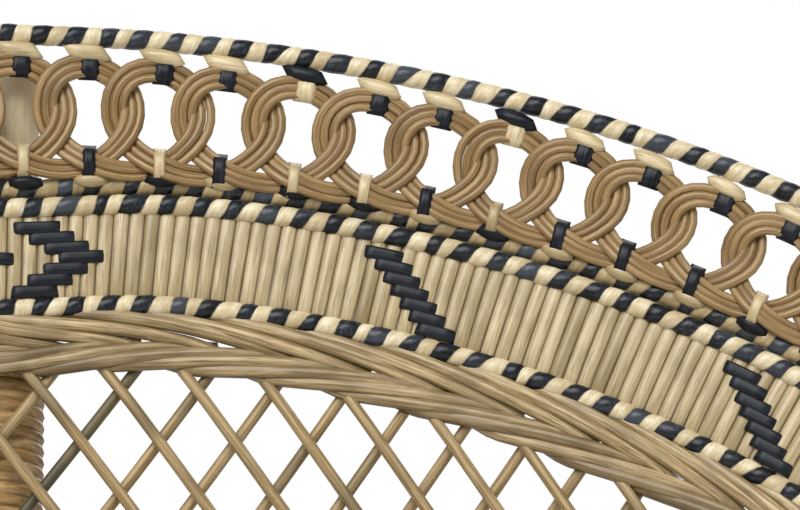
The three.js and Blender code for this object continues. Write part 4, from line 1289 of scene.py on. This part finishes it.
share = np.linspace(0, 1, 34)[:, None]
for name, direction in (("base_stakes_outer", -1), ("base_stakes_inner", 1)):
    lines = []
    for number in range(BASE_STAKES):
        top = 2 * math.pi * (number + 0.5) / BASE_STAKES + rng.normal(0, 0.006)
        upper = round_line(top, SEAT_RADIUS - direction * STAKE_GAP, BASE_TOP + STAKE_OVERLAP)
        lower = round_line(top + direction * BASE_TWIST, FLOOR_RADIUS - direction * STAKE_GAP,
                           BASE_BOTTOM - STAKE_OVERLAP)
        lines.append(upper + (lower - upper) * share)
    cane_piece(name + "_rods", lines, "lattice_stake", [name], 10, stake_cane,
               tones=stake_tones(BASE_STAKES, 0.08), radii=BASE_STAKE_RADIUS * mm)
print(2 * BASE_STAKES, "stakes in the base")

# %% [markdown]
# ## Plaits round both ends
# A plait of three pairs of canes covers the stakes' ends at the seat and at the floor. Each pair rises and
# falls, and it swings in and out twice as often, which is the path of hair in a plait.

# %% Seat plait and foot plait
PLAIT_STRANDS, PLAIT_PERIOD = 3, 66.0
PLAIT_RISE, PLAIT_SWING, PAIR_GAP = 4.2, 3.0, 1.75

for name, radius, level in (("seat_braid", 268.1, BASE_TOP), ("foot_braid", 260.1, BASE_BOTTOM)):
    lines = []
    count = round(2 * math.pi * radius / PLAIT_PERIOD)
    angle = np.linspace(0, FULL_TURN, count * 24 + 1)
    for strand in range(PLAIT_STRANDS):
        swing = angle * count + 2 * math.pi * strand / PLAIT_STRANDS
        lines += [round_line(angle, radius + PLAIT_SWING * np.sin(2 * swing),
                             level + PLAIT_RISE * np.sin(swing) + side * PAIR_GAP) for side in (-1, 1)]
    cane_piece(name + "_strands", lines, "braid_cane", [name], 8, braid_cane,
               tones=rng.beta(1.5, 3.0, len(lines)), radii=2.0 * mm)
print("base ready")

# %% [markdown]
# # Floor, light and camera
# The chair stands on a plain pale floor before a white backdrop. Large soft lamps at a plain level show the
# woven surfaces without hard shadows. The world is white where the camera sees it directly, and dimmer
# where it lights the chair.

# %% The floor and the soft lamps
from mathutils import Matrix, Vector

FLOOR_REACH = 6.0

floor_finish, _, _ = finish_material("Pale floor", 0.9, gloss=0.1)
floor_finish.node_tree.nodes["Principled BSDF"].inputs["Base Color"].default_value = paint("eceae6")
floor_mesh = bpy.data.meshes.new("floor")
corners = [(x * FLOOR_REACH, y * FLOOR_REACH, 0) for x, y in ((-1, -1), (1, -1), (1, 1), (-1, 1))]
floor_mesh.from_pydata(corners, [], [(0, 1, 2, 3)])
floor_mesh.materials.append(floor_finish)
floor = bpy.data.objects.new("floor", floor_mesh)
bpy.context.scene.collection.objects.link(floor)


def lamp(name, kind, power, size, place, direction):
    light = bpy.data.lights.new(name, kind)
    light.energy = power
    if kind == "SUN":
        light.angle = size
    else:
        light.shape = "DISK"
        light.size = size
    stand = bpy.data.objects.new(name, light)
    bpy.context.scene.collection.objects.link(stand)
    stand.location = place
    stand.rotation_euler = Vector(direction).to_track_quat("-Z", "Y").to_euler()


lamp("key lamp", "AREA", 60, 1.6, (-2.2, -3.0, 3.4), (2.2, 3.0, -2.3))
lamp("fill lamp", "AREA", 14, 2.4, (2.8, -2.6, 2.0), (-2.8, 2.6, -1.0))
lamp("rear lamp", "AREA", 30, 2.4, (0.8, 3.0, 2.8), (-0.8, -3.0, -1.8))
lamp("soft sky", "SUN", 2.1, 0.6, (0, 0, 0), (0.3, 0.72, -0.9))

world = bpy.data.worlds.new("White studio")
bpy.context.scene.world = world
world.use_nodes = True
ray = add_node(world.node_tree, "ShaderNodeLightPath").node.outputs["Is Camera Ray"]
strength = add_node(world.node_tree, RANGE, {0: ray, "To Min": 0.3, "To Max": 1.0})
background = world.node_tree.nodes["Background"]
background.inputs["Color"].default_value = (1, 1, 1, 1)
world.node_tree.links.new(strength, background.inputs["Strength"])
bpy.context.scene.view_settings.view_transform = "Standard"
print("lamps and world set")

# %% [markdown]
# ## The camera
# The photograph was taken from a little above the fan's middle with a long lens. The place, the turn and
# the slight roll were worked out from the curves of the rims. The camera stands about two metres away.

# %% Set up the camera
CAMERA_PLACE = (-19.8, -1849.0, 1370.1)
CAMERA_YAW, CAMERA_PITCH, CAMERA_ROLL = math.radians(5.02), math.radians(1.40), math.radians(0.60)
PICTURE_WIDTH, FOCAL_PIXELS, SENSOR_WIDTH = 800, 5089, 36.0

level = Vector((math.cos(CAMERA_YAW), -math.sin(CAMERA_YAW), 0))
ahead = Vector((math.sin(CAMERA_YAW), math.cos(CAMERA_YAW), 0))
forward = ahead * math.cos(CAMERA_PITCH) + Vector((0, 0, math.sin(CAMERA_PITCH)))
right = level * math.cos(CAMERA_ROLL) + level.cross(forward) * math.sin(CAMERA_ROLL)
lens = bpy.data.cameras.new("photo camera")
lens.sensor_width = SENSOR_WIDTH
lens.lens = SENSOR_WIDTH * FOCAL_PIXELS / PICTURE_WIDTH
lens.clip_end = 50.0
camera = bpy.data.objects.new("photo camera", lens)
bpy.context.scene.collection.objects.link(camera)
turned = Matrix((right, right.cross(forward), -forward)).transposed().to_4x4()
camera.matrix_world = Matrix.Translation(Vector(CAMERA_PLACE) * mm) @ turned
bpy.context.scene.camera = camera
print("lens", round(lens.lens), "mm")
